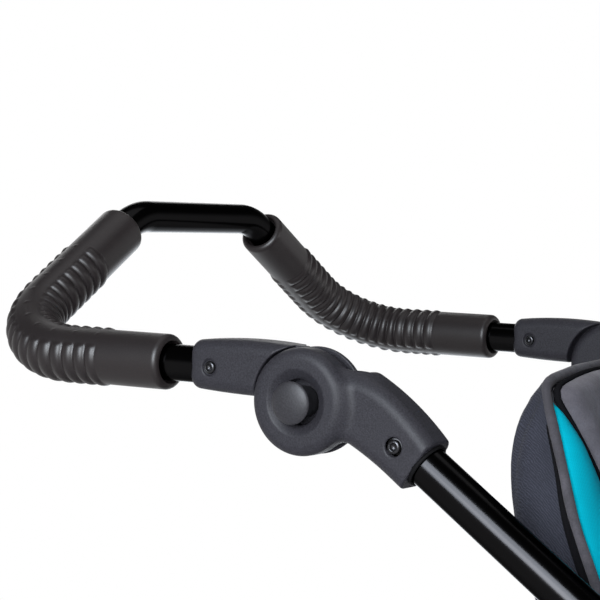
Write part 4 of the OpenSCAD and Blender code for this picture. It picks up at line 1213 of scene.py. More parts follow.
def ribbon(line: Array, across: Array, out: Array, half: float = BELT_HALF) -> Mesh:
    """Flat strap along a line.

    Args:
        line: The middle of the strap's inner face.
        across: Direction of its width.
        out: Direction of its thickness.
        half: Half its width.

    Returns:
        The points and faces.
    """
    w = np.array([-1, -0.96, -0.8, 0, 0.8, 0.96, 1.0])
    lift = np.array([0.5, 0.85, 1.0, 0.92, 1.0, 0.85, 0.5])
    drop = np.maximum(BELT_THICK * (lift - 0.5 + np.abs(lift - 0.5)), 0.0004)
    top = line[:, None] + half * w[:, None] * across + BELT_THICK * lift[:, None] * out
    return cloth(top, drop[:, None] * out)


def grid_normals(rows: Array) -> Array:
    """Unit normals of a grid of points."""
    n = np.cross(np.gradient(rows, axis=1), np.gradient(rows, axis=0))
    return n / np.maximum(np.linalg.norm(n, axis=-1, keepdims=True), 1e-12)


def inflate(points: Array, faces: Sequence, limit: float) -> Mesh:
    """Puffs a closed form up as stuffed cloth, by simulation.

    Args:
        points: The form's points.
        faces: The form's faces.
        limit: Furthest that a point may move.

    Returns:
        The points and faces of the puffed form.
    """
    steps, pressure, voxel = 20, 4.0, 0.005
    scene = bpy.context.scene
    mesh = bpy.data.meshes.new("puff")
    mesh.from_pydata(points.tolist(), [], [list(map(int, f)) for f in faces])
    piece = bpy.data.objects.new("puff", mesh)
    scene.collection.objects.link(piece)
    remesh = piece.modifiers.new("remesh", "REMESH")
    remesh.mode, remesh.voxel_size = "VOXEL", voxel
    even = bpy.data.meshes.new_from_object(piece.evaluated_get(bpy.context.evaluated_depsgraph_get()))
    piece.modifiers.clear()
    piece.data = even
    rest = np.array([v.co for v in even.vertices])
    sim = piece.modifiers.new("cloth", "CLOTH")
    sim.settings.use_pressure = True
    sim.settings.uniform_pressure_force = pressure
    sim.settings.effector_weights.gravity = 0.0
    sim.collision_settings.use_self_collision = False
    sim.point_cache.frame_start, sim.point_cache.frame_end = 1, steps
    for step in range(1, steps + 1):
        scene.frame_set(step)
    puffed = piece.evaluated_get(bpy.context.evaluated_depsgraph_get()).to_mesh()
    moved = np.array([v.co for v in puffed.vertices]) - rest
    far = np.linalg.norm(moved, axis=1, keepdims=True)
    result = rest + moved * np.minimum(1.0, limit / np.maximum(far, 1e-9))
    shape = [tuple(p.vertices) for p in even.polygons]
    piece.modifiers.clear()
    bpy.data.objects.remove(piece)
    scene.frame_set(1)
    LOG.info("puffed %d points by up to %.1f mm", len(result), 1000 * float(np.minimum(far, limit).max()))
    return result, shape


def soften(piece: bpy.types.Object) -> None:
    """Adds one subdivision to a puffed piece."""
    piece.modifiers.new("soft", "SUBSURF").levels = 1
    piece.modifiers["soft"].render_levels = 1


def crowned(u: Array, v: Array) -> Array:
    """Share of a cushion's crown at places from -1 to 1 across and along it."""
    return ((1 - u ** 4) * (1 - v ** 4)) ** 0.45


@dataclass(frozen=True)
class Pad:
    """Crowned cushion whose sides draw in between its corners."""

    wide: float
    long: float
    edge: float
    crown: float
    corner: float
    draw: float = 0.02
    seam: float = 1.004

    def skin(self, count: int = 36) -> Mesh:
        """Closed skin with its middle at the origin and its crown along +Z.

        Args:
            count: Points along each side.

        Returns:
            The points and faces.
        """
        t = np.linspace(-1, 1, count)[:-1]
        one = np.ones_like(t)
        ring = np.concatenate([np.stack(side, 1) for side in ((t, one), (one, -t), (-t, -one), (-one, t))])
        square = ring[None] * (1 - np.linspace(0, 0.99, 22) ** 1.5)[:, None, None]
        u, v = square[..., 0], square[..., 1]
        flat = np.stack([0.5 * size * a * np.sqrt(1 - self.corner * b ** 2)
                         * (1 - self.draw * np.cos(0.5 * math.pi * b) ** 2)
                         for size, a, b in ((self.wide, u, v), (self.long, v, u))], -1)
        rim = raised(flat[:1] * self.seam, 0.0)
        front = raised(flat, np.maximum(self.edge / 2 + self.crown * crowned(u, v), 0.001))
        back = raised(flat, -self.edge / 2)[::6]
        return two_sided(np.concatenate([rim, front]), np.concatenate([rim, back]))


@dataclass
class Backrest:
    """Padded backrest: knit shell, bound edge, coloured bolsters and a plush middle.

    Rim and plush edge are one half of their outlines, from the top middle down. The rim's top stops and its
    low part starts at the given point, and sides lie between two points. The tuck is how far the knit shell
    stands out of the rim and how deep it lies there, from the bound edge to the back. The head pad is its
    width, its height, where its middle is up the back and how far that stands out.
    """

    rim: tuple = ((0, 0.225), (0.060, 0.2234), (0.104, 0.2216), (0.1385, 0.2183), (0.156, 0.215),
                  (0.1645, 0.2098), (0.168, 0.201), (0.1705, 0.187), (0.176, 0.154), (0.182, 0.120),
                  (0.1795, 0.080), (0.174, 0.040), (0.170, 0), (0.168, -0.060), (0.169, -0.120),
                  (0.166, -0.170), (0.158, -0.196), (0.140, -0.209), (0.100, -0.214), (0.050, -0.216),
                  (0, -0.217))
    rim_top: int = 7
    rim_side: tuple[int, int] = (4, 18)
    rim_low: int = 15
    plush_edge: tuple = ((0, 0.2195), (0.060, 0.2175), (0.104, 0.2155), (0.136, 0.2115), (0.155, 0.207),
                         (0.160, 0.199), (0.1535, 0.187), (0.146, 0.173), (0.139, 0.157), (0.135, 0.146),
                         (0.128, 0.118), (0.118, 0.060), (0.112, 0), (0.110, -0.080), (0.114, -0.140),
                         (0.118, -0.192), (0.108, -0.202), (0.060, -0.207), (0, -0.208))
    plush_side: tuple[int, int] = (5, 16)
    tuck: tuple = ((-0.0020, 0.0005), (-0.0048, -0.0025), (-0.0042, -0.006), (-0.0012, -0.011),
                   (0.0016, -0.019), (0.0022, -0.028), (0.0004, -0.037), (-0.0045, -0.045), (-0.012, -0.051))
    swell_least: float = 0.06
    swell_top: float = 0.029
    swell_low: float = 0.02
    bulge_more: float = 0.016
    bulge_reach: float = 0.05
    fold_deep: float = 0.0009
    fold_waves: Pair = (110.0, 160.0)
    fold_span: Pair = (0.06, -0.08)
    groove_deep: float = 0.0095
    groove_at: float = -0.0045
    groove_wide: float = 0.0055
    groove_span: Pair = (0.19, -0.02)
    binding_wide: float = 0.0037
    binding_thick: float = 0.0034
    binding_out: float = 0.0012
    binding_wave: Pair = (0.04, 0.9)
    # Sizes of the near-black tube that paints the shade of the crease behind the binding.
    crease_shade_wide: float = 0.0030
    crease_shade_thick: float = 0.0036
    crease_shade_in: float = 0.0034
    crease_shade_deep: float = 0.0030
    crease_shade_least: float = 0.25
    crease_shade_span: Pair = (0.180, 0.090)
    bolster_span: Pair = (0.2045, -0.206)
    bolster_high: float = 0.0085
    bolster_gap: float = 0.0052
    bolster_under: float = 0.004
    bolster_tip: float = 0.192
    plush_high: float = 0.0165
    plush_round: float = 0.013
    plush_bow: Pair = (0.003, 0.11)
    plush_heart: Pair = (0.0, 0.100)
    channels: Pair = (-0.097, 0.011)
    channel_deep: float = 0.005
    channel_wide: float = 0.006
    channel_fade: float = 0.02
    # Radii and lift of the near-black tube that paints the shade round the plush edge.
    shade_line_r: Pair = (0.0019, 0.0027)
    shade_line_out: float = 0.0052
    head: tuple[float, float, float, float] = (0.250, 0.170, 0.106, 0.0225)
    belt_x: float = 0.062
    belt_span: Pair = (0.012, -0.160)
    belt_out: float = 0.0208
    belt_wave: Pair = (0.0004, 90.0)
    shoulder_pad: Pair = (-0.050, 0.0246)

    def build(self) -> None:
        """Makes every cover, pad and belt of the backrest."""
        outline = closed_curve(self.rim, 220)
        self.shell(outline)
        self.binding(outline)
        self.bolsters()
        self.plush()
        self.head_pad()
        self.harness()

    def fade(self, p: Array) -> Array:
        """How fully the knit shell swells: 1 at mid height, small at top and bottom.

        Args:
            p: Places on the back.

        Returns:
            One share for each place.
        """
        top, low = self.rim[:self.rim_top], self.rim[self.rim_low:][::-1]
        x, y = np.abs(p[..., 0]), p[..., 1]
        from_top = np.maximum(np.interp(x, *np.transpose(top)) - y, 0)
        from_low = np.maximum(y - np.interp(x, *np.transpose(low)), 0)
        share = (1 - np.exp(-from_top / self.swell_top)) * (1 - np.exp(-from_low / self.swell_low))
        return self.swell_least + (1 - self.swell_least) * share

    def shell(self, outline: Array) -> None:
        """Makes the knit shell, which tucks in behind the bound edge and swells behind it.

        Args:
            outline: The rim.
        """
        side, high = outward(outline), outline[:, 1:]
        full = self.fade(outline)[:, None]
        pull, sink = smooth_step(*self.fold_span, high), smooth_step(*self.groove_span, high)
        up, inward = self.fold_waves
        rows = []
        for out, deep in self.tuck:
            fold = self.fold_deep * pull * np.sin(up * high + inward * deep) * smooth_step(0, 0.012, -deep)
            groove = self.groove_deep * sink * math.exp(-((deep - self.groove_at) / self.groove_wide) ** 2)
            rows.append(raised(outline + side * full * (out + fold - groove), full[:, 0] * deep))
        last, deepest = rows[-1][:, :2], self.tuck[-1][1]
        grid = dome(last, (0.0, 0.0), 34, 1.5)[1:]
        swell = self.bulge_more * (1 - np.exp(-inset(grid, last) / self.bulge_reach))
        back = np.concatenate([np.array(rows), raised(grid, self.fade(grid) * (deepest - swell))])
        front = raised(dome(rows[0][:, :2], (0.0, 0.0), 3), 0.0006)
        front[0] = back[0]
        points, faces = two_sided(front, back)
        piece = add_piece("backrest_shell", BACK.world(points), faces, KNIT_GREY, "backrest",
                          ["backrest_cushion"])

    def binding(self, outline: Array) -> None:
        """Makes the bound edge round the rim, and a near-black tube behind it that paints the crease's shade.

        Args:
            outline: The rim.
        """
        normal = outward(outline)
        high, turn = self.binding_wave
        wave = 1 + high * np.sin(np.arange(len(outline)) * turn)[:, None]
        line = raised(outline - normal * (self.binding_wide - self.binding_out), 0.0005)
        points, faces = soft_tube(line, raised(normal * wave, 0.0), UP * wave, self.binding_wide,
                                  self.binding_thick, 14)
        add_piece("backrest_binding", BACK.world(points), faces, BINDING, "backrest")
        # Near-black tube tucked behind the binding: painted shade along the crease, larger towards the
        # bottom.
        least = self.crease_shade_least
        size = least + (1 - least) * smooth_step(*self.crease_shade_span, outline[:, 1:])
        line = raised(outline - normal * (self.crease_shade_in * size + self.binding_out),
                      -self.crease_shade_deep - self.crease_shade_thick * size[:, 0])
        points, faces = soft_tube(line, raised(normal * size, 0.0), UP * size, self.crease_shade_wide,
                                  self.crease_shade_thick, 14)
        add_piece("backrest_crease_shade", BACK.world(points), faces, PAINTED_SHADE, "backrest")

    def bolsters(self) -> None:
        """Makes the coloured bolsters between the binding and the plush."""
        y = np.linspace(*self.bolster_span, 110)
        rim = width_at(self.rim[slice(*self.rim_side)], y) - self.bolster_gap
        inner = width_at(self.plush_edge[slice(*self.plush_side)], y) - self.bolster_under
        past = y - self.bolster_tip
        inner = np.where(past > 0, np.minimum(rim - 0.0015, inner + past * 0.9), inner)
        w = np.linspace(0, 1, 18)
        x = rim[:, None] + (inner - rim)[:, None] * w
        high = np.minimum(self.bolster_high, 0.28 * (rim - inner))[:, None] * np.sin(math.pi * w) ** 0.62
        flat = np.stack([x, np.repeat(y[:, None], len(w), 1)], -1)
        points, faces = cloth(raised(flat, 0.0012 + high), raised(0 * flat, 0.0010 + high))
        for name, side in SIDES.items():
            piece = add_piece(f"backrest_bolster_{name}", BACK.world(points * [side, 1, 1]),
                              turned(faces, side), TEAL, "backrest")

    def plush(self) -> None:
        """Makes the plush middle of the backrest and a near-black tube round it that paints the shade of the
        crevice at its edge.
        """
        outline = closed_curve(self.plush_edge, 200)
        grid = dome(outline, self.plush_heart, 34, 1.7)
        x, y, far = grid[..., 0], grid[..., 1], inset(grid, outline)
        bow, half = self.plush_bow
        high = self.plush_high * np.sqrt(1 - (1 - np.clip(far / self.plush_round, 0, 1)) ** 2)
        high = high + bow * np.clip(1 - (x / half) ** 2, 0, 1)
        for at in self.channels:
            groove = np.exp(-((y - at) / self.channel_wide) ** 2) * np.clip(far / self.channel_fade, 0, 1)
            high = high - self.channel_deep * groove
        front = raised(grid, 0.001 + np.maximum(high, 0))
        back = raised(dome(outline, self.plush_heart, 3), 0.0006)
        back[0] = front[0]
        points, faces = two_sided(front, back)
        piece = add_piece("backrest_plush", BACK.world(points), faces, PLUSH_GREY, "backrest")
        # Near-black tube along the plush outline: painted shade of the crevice at its edge.
        side = raised(outward(outline), 0.0)
        points, faces = soft_tube(raised(outline, self.shade_line_out), side, UP, *self.shade_line_r, 12)
        add_piece("plush_shade_line", BACK.world(points), faces, PAINTED_SHADE, "backrest")

    def head_pad(self) -> None:
        """Makes the head pad."""
        wide, tall, at, out = self.head
        points, faces = Pad(wide, tall, edge=0.004, crown=0.012, corner=0.09).skin()
        points, faces = inflate(points + [0, 0, out], faces, limit=0.005)
        piece = add_piece("head_pad_plush", BACK.world(points + [0, at, 0]), faces, PLUSH_GREY, "backrest",
                          ["headrest_pad"])
        soften(piece)

    def harness(self) -> None:
        """Makes the shoulder belts and their pads."""
        belts, pads = [], []
        y = np.linspace(*self.belt_span, 40)
        high, turn = self.belt_wave
        out = self.belt_out + high * np.sin(turn * y)
        pad_points, pad_faces = Pad(0.052, 0.130, edge=0.002, crown=0.009, corner=0.10).skin()
        for x in (side * self.belt_x for side in SIDES.values()):
            belts.append(ribbon(np.stack([0 * y + x, y, out], 1), AHEAD, UP))
            pads.append((pad_points + [x, *self.shoulder_pad], pad_faces))
        points, faces = join(belts)
        add_piece("shoulder_webbing", BACK.world(points), faces, WEBBING, "backrest",
                  ["shoulder_belts"])
        points, faces = join(pads)
        piece = add_piece("shoulder_pad_plush", BACK.world(points), faces, PLUSH_GREY, "backrest",
                          ["shoulder_pads"])


@dataclass
class SeatSet:
    """Seat cushion, its belts and the cloth panels round the seat.

    The left lap belt and the crotch belt are where they start and stop on the cushion.
    """

    wide: float = 0.344
    long: float = 0.240
    crown: float = 0.030
    edge: float = 0.006
    corner: float = 0.12
    points_along: int = 44
    channels: Pair = (-0.036, 0.036)
    channel_deep: float = 0.005
    channel_wide: float = 0.0045
    cover: float = 0.003
    piping_r: float = 0.0028
    lap: tuple = ((0.126, -0.080), (0.038, -0.010))
    lap_lift: float = 0.0035
    crotch: Pair = (0.012, 0.072)
    crotch_lift: float = 0.0030
    cloth_thick: float = 0.0022
    side_span: Pair = (0.352, 0.146)
    side_bow: float = 0.014
    side_top: float = 0.240
    tube_low: float = 0.0163
    seat_gap: float = 0.006
    side_clear: float = 0.013
    calf_top: Pair = (0.18935, 0.508)
    calf_low: Pair = (0.29605, 0.3385)
    calf_half: float = 0.140
    calf_narrows: float = 0.12
    calf_sag: float = 0.010

    def build(self) -> None:
        """Makes the cushion, its belts and the panels."""
        self.cushion()
        self.piping()
        self.belts()
        self.side_cloth()
        self.calf_cloth()

    def cushion(self) -> None:
        """Makes the puffed cushion with its sewn channels."""
        room = 0.004
        form = Pad(self.wide - room, self.long - room, self.edge, self.crown - self.cover, self.corner)
        points, faces = inflate(*form.skin(self.points_along), limit=0.006)
        x, y, z = points.T
        for at in self.channels:
            groove = np.exp(-((y - at) / self.channel_wide) ** 2) * np.clip((0.16 - np.abs(x)) * 40, 0, 1)
            z -= np.where(z > 0.008, self.channel_deep * groove, 0)
        points[:, 2] = np.maximum(z, -self.edge / 2)
        piece = add_piece("seat_pad", SEAT.world(points), faces, TEAL, "frame",
                          ["seat_cushion"])
        soften(piece)

    def piping(self) -> None:
        """Makes the piping round the cushion."""
        points, _ = Pad(self.wide, self.long, self.edge, self.crown, self.corner).skin(self.points_along)
        line = points[:4 * (self.points_along - 1), :2]
        out = raised(line / np.linalg.norm(line, axis=1, keepdims=True), 0.0)
        points, faces = soft_tube(raised(line, 0.0), out, UP, self.piping_r, self.piping_r, 10)
        add_piece("seat_piping", SEAT.world(points), faces, GREY_WEAVE, "frame")

    def top(self, x: Array, y: Array) -> Array:
        """Height of the cushion's crowned face, on which a belt lies."""
        u, v = np.clip(np.abs(2 * x / self.wide), 0, 1), np.clip(np.abs(2 * y / self.long), 0, 1)
        return self.edge / 2 + self.crown * crowned(u, v)

    def belts(self) -> None:
        """Makes the lap and crotch belts."""
        made = []
        t = np.linspace(0, 1, 26)
        start, (run_x, run_y) = self.lap[0], np.subtract(self.lap[1], self.lap[0])
        for side in SIDES.values():
            x, y = side * (start[0] + run_x * t), start[1] + run_y * t
            across = unit(np.array([side * run_y, -run_x, 0.0])) * side
            made.append(ribbon(np.stack([x, y, self.top(x, y) + self.lap_lift], 1), across, UP))
        y = np.linspace(*self.crotch, len(t))
        made.append(ribbon(np.stack([0 * y, y, self.top(0 * y, y) + self.crotch_lift], 1), AHEAD, UP))
        points, faces = join(made)
        add_piece("lap_webbing", SEAT.world(points), faces, WEBBING, "frame", ["lap_belts"])

    def side_cloth(self) -> None:
        """Makes the cloth between the main tubes and the seat edge."""
        u, f = np.meshgrid(np.linspace(0, 1, 40), np.linspace(0, 1, 22))
        ahead = self.side_span[0] + self.side_span[1] * u
        x = PLACE.hinge_x + ahead
        top = PLACE.tube_height(ahead) - self.tube_low
        low = SEAT_REAR[2] + (x - SEAT_REAR[0]) * SEAT_AHEAD[2] / SEAT_AHEAD[0] + self.side_clear * SEAT_UP[2]
        bow = np.sin(math.pi * f)
        ripple = 0.004 * np.sin(5 * math.pi * u) + 0.0015 * np.sin(13 * math.pi * u + 3 * f)
        y = self.side_top * f + (self.wide / 2 + self.seat_gap) * (1 - f) + bow * (ripple - self.side_bow)
        rows = np.stack([x, y, low * (1 - f) + top * f], -1)
        points, faces = cloth(rows, self.cloth_thick * grid_normals(rows))
        for name, side in SIDES.items():
            piece = add_piece(f"side_cloth_{name}", flip(points, side), turned(faces, side), GREY_WEAVE,
                              "frame", ["side_panels"])

    def calf_cloth(self) -> None:
        """Makes the cloth from the seat front down to the footrest."""
        u, f = np.meshgrid(np.linspace(-1, 1, 36), np.linspace(0, 1, 30))
        (top_x, top_z), (low_x, low_z) = self.calf_top, self.calf_low
        sag = np.sin(math.pi * f)
        ripple = 0.0012 * np.sin(7 * u + 5 * f)
        x = top_x + (low_x - top_x) * f + sag * (self.calf_sag * (0.5 * u * u - 1) + ripple)
        y = self.calf_half * u * (1 - self.calf_narrows * f)
        rows = np.stack([x, y, top_z + (low_z - top_z) * f], -1)
        points, faces = cloth(rows, self.cloth_thick * grid_normals(rows))
        piece = add_piece("calf_cloth", points, faces, GREY_WEAVE, "frame", ["calf_panel"])


@dataclass(frozen=True)
class HoodPanel:
    """One hood panel: its place in the nest, its angles in degrees round the hubs, its body and finish."""

    name: str
    nest: int
    low: float
    high: float
    body: str
    finish: Finish
    slot: str


@dataclass
class Hood:
    """Three nested hood panels on bows, with hems and piping."""

    middle: Pair = (-0.09695, 0.7762)
    radius: float = 0.310
    half: float = 0.205
    step: float = 0.0115
    corner: float = 0.070
    hub: float = 0.024
    sag: float = 0.004
    thick: float = 0.0018
    sag_span: Pair = (0.05, 0.16)
    hem_thick: float = 0.0010
    hem_turn: float = 1.0
    hem_lean: float = 0.004
    hem_span: Pair = (0.08, 0.80)
    piping_r: float = 0.0016
    piping_turn: float = 0.4
    piping_in: float = 0.0020
    piping_share: float = 0.993
    run: int = 16
    panels: tuple[HoodPanel, ...] = (HoodPanel("rear", 0, 62, 95, "frame", GREY_WEAVE, "grey_cloth"),
                                     HoodPanel("mid", 1, 33, 64, "hood_mid", TEAL, "teal_cloth"),
                                     HoodPanel("front", 2, 4, 35, "hood_front", GREY_WEAVE, "grey_cloth"))

    def profile(self, nest: int) -> tuple[Array, Array]:
        """Section of a panel from one hub over the top to the other.

        Args:
            nest: The panel's place in the nest, from the outside.

        Returns:
            Radii and sideways places.
        """
        r, half, c = self.radius - nest * self.step, self.half - nest * self.step, self.corner
        run = self.run
        a = np.linspace(0, math.pi / 2, run)[1:-1]
        rad = np.concatenate([np.linspace(self.hub, r - c, run), r - c + c * np.sin(a), np.full(run, r)])
        y = np.concatenate([np.full(run, half), half - c + c * np.cos(a), np.linspace(half - c, 0, run)])
        return np.concatenate([rad, rad[-2::-1]]), np.concatenate([y, -y[-2::-1]])

    def place(self, rad: Array, y: Array, angle: Array) -> Array:
        """Turns radius, side place and angle into points in the part's frame."""
        return np.stack([self.middle[0] + rad * np.cos(angle), y, self.middle[1] + rad * np.sin(angle)], -1)

    def build(self) -> None:
        """Makes the panels with their piping and hems."""
        for panel in self.panels:
            self.panel_cloth(panel)
            self.piping(panel)
            if panel is not self.panels[-1]:
                self.hem(panel)

    def panel_cloth(self, panel: HoodPanel) -> None:
        """Makes the cloth of a panel, which sags between its bows.

        Args:
            panel: The panel.
        """
        rad, y = self.profile(panel.nest)
        f = np.linspace(0, 1, 18)[:, None]
        angle = np.radians(panel.low + (panel.high - panel.low) * f)
        drop = self.sag * np.sin(math.pi * f) * smooth_step(*self.sag_span, rad)[None]
        ease = 1 - drop / (self.radius - panel.nest * self.step)
        rows = self.place(rad[None] - drop, y[None] * ease, np.repeat(angle, len(rad), 1))
        points, faces = cloth(rows, -self.thick * grid_normals(rows))
        piece = add_piece(f"hood_cloth_{panel.name}", points, turned(faces, -1), panel.finish, panel.body,
                          [f"hood_panel_{panel.name}"])

    def piping(self, panel: HoodPanel) -> None:
        """Makes the piping on the front edge of a panel.

        Args:
            panel: The panel.
        """
        rad, y = self.profile(panel.nest)
        angle = math.radians(panel.low + self.piping_turn)
        line = self.place(rad - self.piping_in, y * self.piping_share, np.full(len(rad), angle))
        side = np.array([-math.sin(angle), 0.0, math.cos(angle)])
        out = np.cross(np.gradient(line, axis=0), side)
        out /= np.linalg.norm(out, axis=1, keepdims=True)
        points, faces = soft_tube(line, side, out, self.piping_r, self.piping_r, 10, closed=False)
        add_piece(f"hood_piping_{panel.name}", points, faces, BINDING, panel.body)

    def hem(self, panel: HoodPanel) -> None:
        """Makes the hem that closes the gap between a panel and the next one in.

        Args:
            panel: The panel.
        """
        (rad, y), (rad_in, y_in) = self.profile(panel.nest), self.profile(panel.nest + 1)
        w = np.linspace(*self.hem_span, 6)[:, None]
        angle = np.full((len(w), len(rad)), math.radians(panel.low + self.hem_turn)) + self.hem_lean * w
        rows = self.place(rad + (rad_in - rad) * w, y + (y_in - y) * w, angle)
        points, faces = cloth(rows, self.hem_thick * grid_normals(rows))
        add_piece(f"hood_hem_{panel.name}", points, faces, BINDING, panel.body)


@dataclass(frozen=True)
class Hanger:
    """One basket strap on the left side: its ends, its width as a vector and the way that it faces."""

    low: Triple
    high: Triple
    across: Triple
    out: Triple


@dataclass
class Basket:
    """Cloth basket under the seat, with its rim and straps.

    The draw is how far its walls draw in at heights over its floor, and the foot is the heights of the rows
    that turn in to the floor.
    """

    middle: float = -0.01995
    half: Pair = (0.180, 0.212)
    floor: float = 0.230
    rim: float = 0.380
    wall: float = 0.0025
    edge_r: Pair = (0.0042, 0.0060)
    edge_in: float = 0.0030
    foot: tuple = (0.012, 0.006, 0.002, 0.0)
    draw: tuple = ((0.0, 0.042), (0.002, 0.034), (0.006, 0.027), (0.012, 0.0225), (0.020, 0.0195),
                   (0.040, 0.0165), (0.110, 0.0045), (0.150, 0.0015))
    hangers: tuple[Hanger, ...] = (
        Hanger((-0.04995, 0.2123, 0.362), (-0.04995, 0.2123, 0.4687), (-0.012, 0, 0), (0, 1.0, 0)),
        Hanger((-0.10995, 0.2123, 0.362), (-0.08995, 0.2197, 0.505), (-0.012, 0, 0.006), (0, 1.0, 0)),
        Hanger((0.16035, 0.120, 0.362), (0.16875, 0.120, 0.508), (0, 0.012, 0), (1.0, 0, 0)))

    def ring(self, inset_by: float, z: float, count: int = 128) -> Array:
        """Outline of the basket at a height.

        Args:
            inset_by: How far it draws in there.
            z: The height.
            count: Points wanted.

        Returns:
            The points.
        """
        a = full_turn(count)
        aim = np.stack([np.cos(a), np.sin(a)], 1)
        square = (np.abs(aim) ** 5).sum(1, keepdims=True) ** -0.2
        return raised([self.middle, 0] + np.subtract(self.half, inset_by) * aim * square, z)

    def away(self, rows: Array) -> Array:
        """Level unit directions from the basket's middle to points."""
        aim = (rows - [self.middle, 0, 0]) * [1, 1, 0]
        return aim / np.linalg.norm(aim, axis=-1, keepdims=True)

    def build(self) -> None:
        """Makes the bag, the bound rim and the straps."""
        self.bag()
        edge = self.ring(self.edge_in, self.rim - 0.001)
        points, faces = soft_tube(edge, self.away(edge), UP, *self.edge_r, 14)
        add_piece("basket_rim", points, faces, GREY_WEAVE, "frame")
        self.straps()

    def bag(self) -> None:
        """Makes the bag, whose walls fold a little between rim and floor."""
        over = np.append(np.linspace(self.rim - self.floor, 0.020, 22), self.foot)
        drawn = np.interp(over, *np.transpose(self.draw))
        outer = np.array([self.ring(d, self.floor + h) for d, h in zip(drawn, over)])
        a = full_turn(outer.shape[1])
        fold = 0.0016 * np.sin(9 * a + 1.3) + 0.001 * np.sin(17 * a) - 0.002
        aim = self.away(outer)
        outer = outer + (np.sin(math.pi * np.linspace(0, 1, len(over)))[:, None] * fold)[..., None] * aim
        heart, last = np.array([self.middle, 0]), outer[-1, :, :2]
        base = [raised(heart + (last - heart) * (1 - g), self.floor) for g in np.linspace(0.12, 0.98, 8)]
        skin = np.concatenate([outer, base])
        shift = np.zeros_like(skin)
        shift[:len(over)] = -self.wall * aim
        shift[len(over) - len(self.foot):, :, 2] = self.wall
        points, faces = two_sided(skin, np.concatenate([skin[:1], skin + shift]))
        add_piece("basket_bag", points, faces, BASKET_CLOTH, "frame", ["basket"])

    def straps(self) -> None:
        """Makes the webbing that hangs the basket from the seat bars."""
        made = []
        t = np.linspace(0, 1, 28)[:, None]
        slack = 0.0015 * np.sin(math.pi * t) + 0.0036 * np.clip(1 - t / 0.10, 0, 1) ** 1.5
        for side in SIDES.values():
            for hang in self.hangers:
                line = np.array(hang.low) + t * np.subtract(hang.high, hang.low) - slack * np.array(hang.out)
                half = float(np.linalg.norm(hang.across))
                points, faces = ribbon(line, unit(hang.across), np.array(hang.out), half)
                made.append((flip(points, side), turned(faces, side)))
        points, faces = join(made)
        add_piece("basket_webbing", points, faces, WEBBING, "frame", ["basket_straps"])


# Wheels


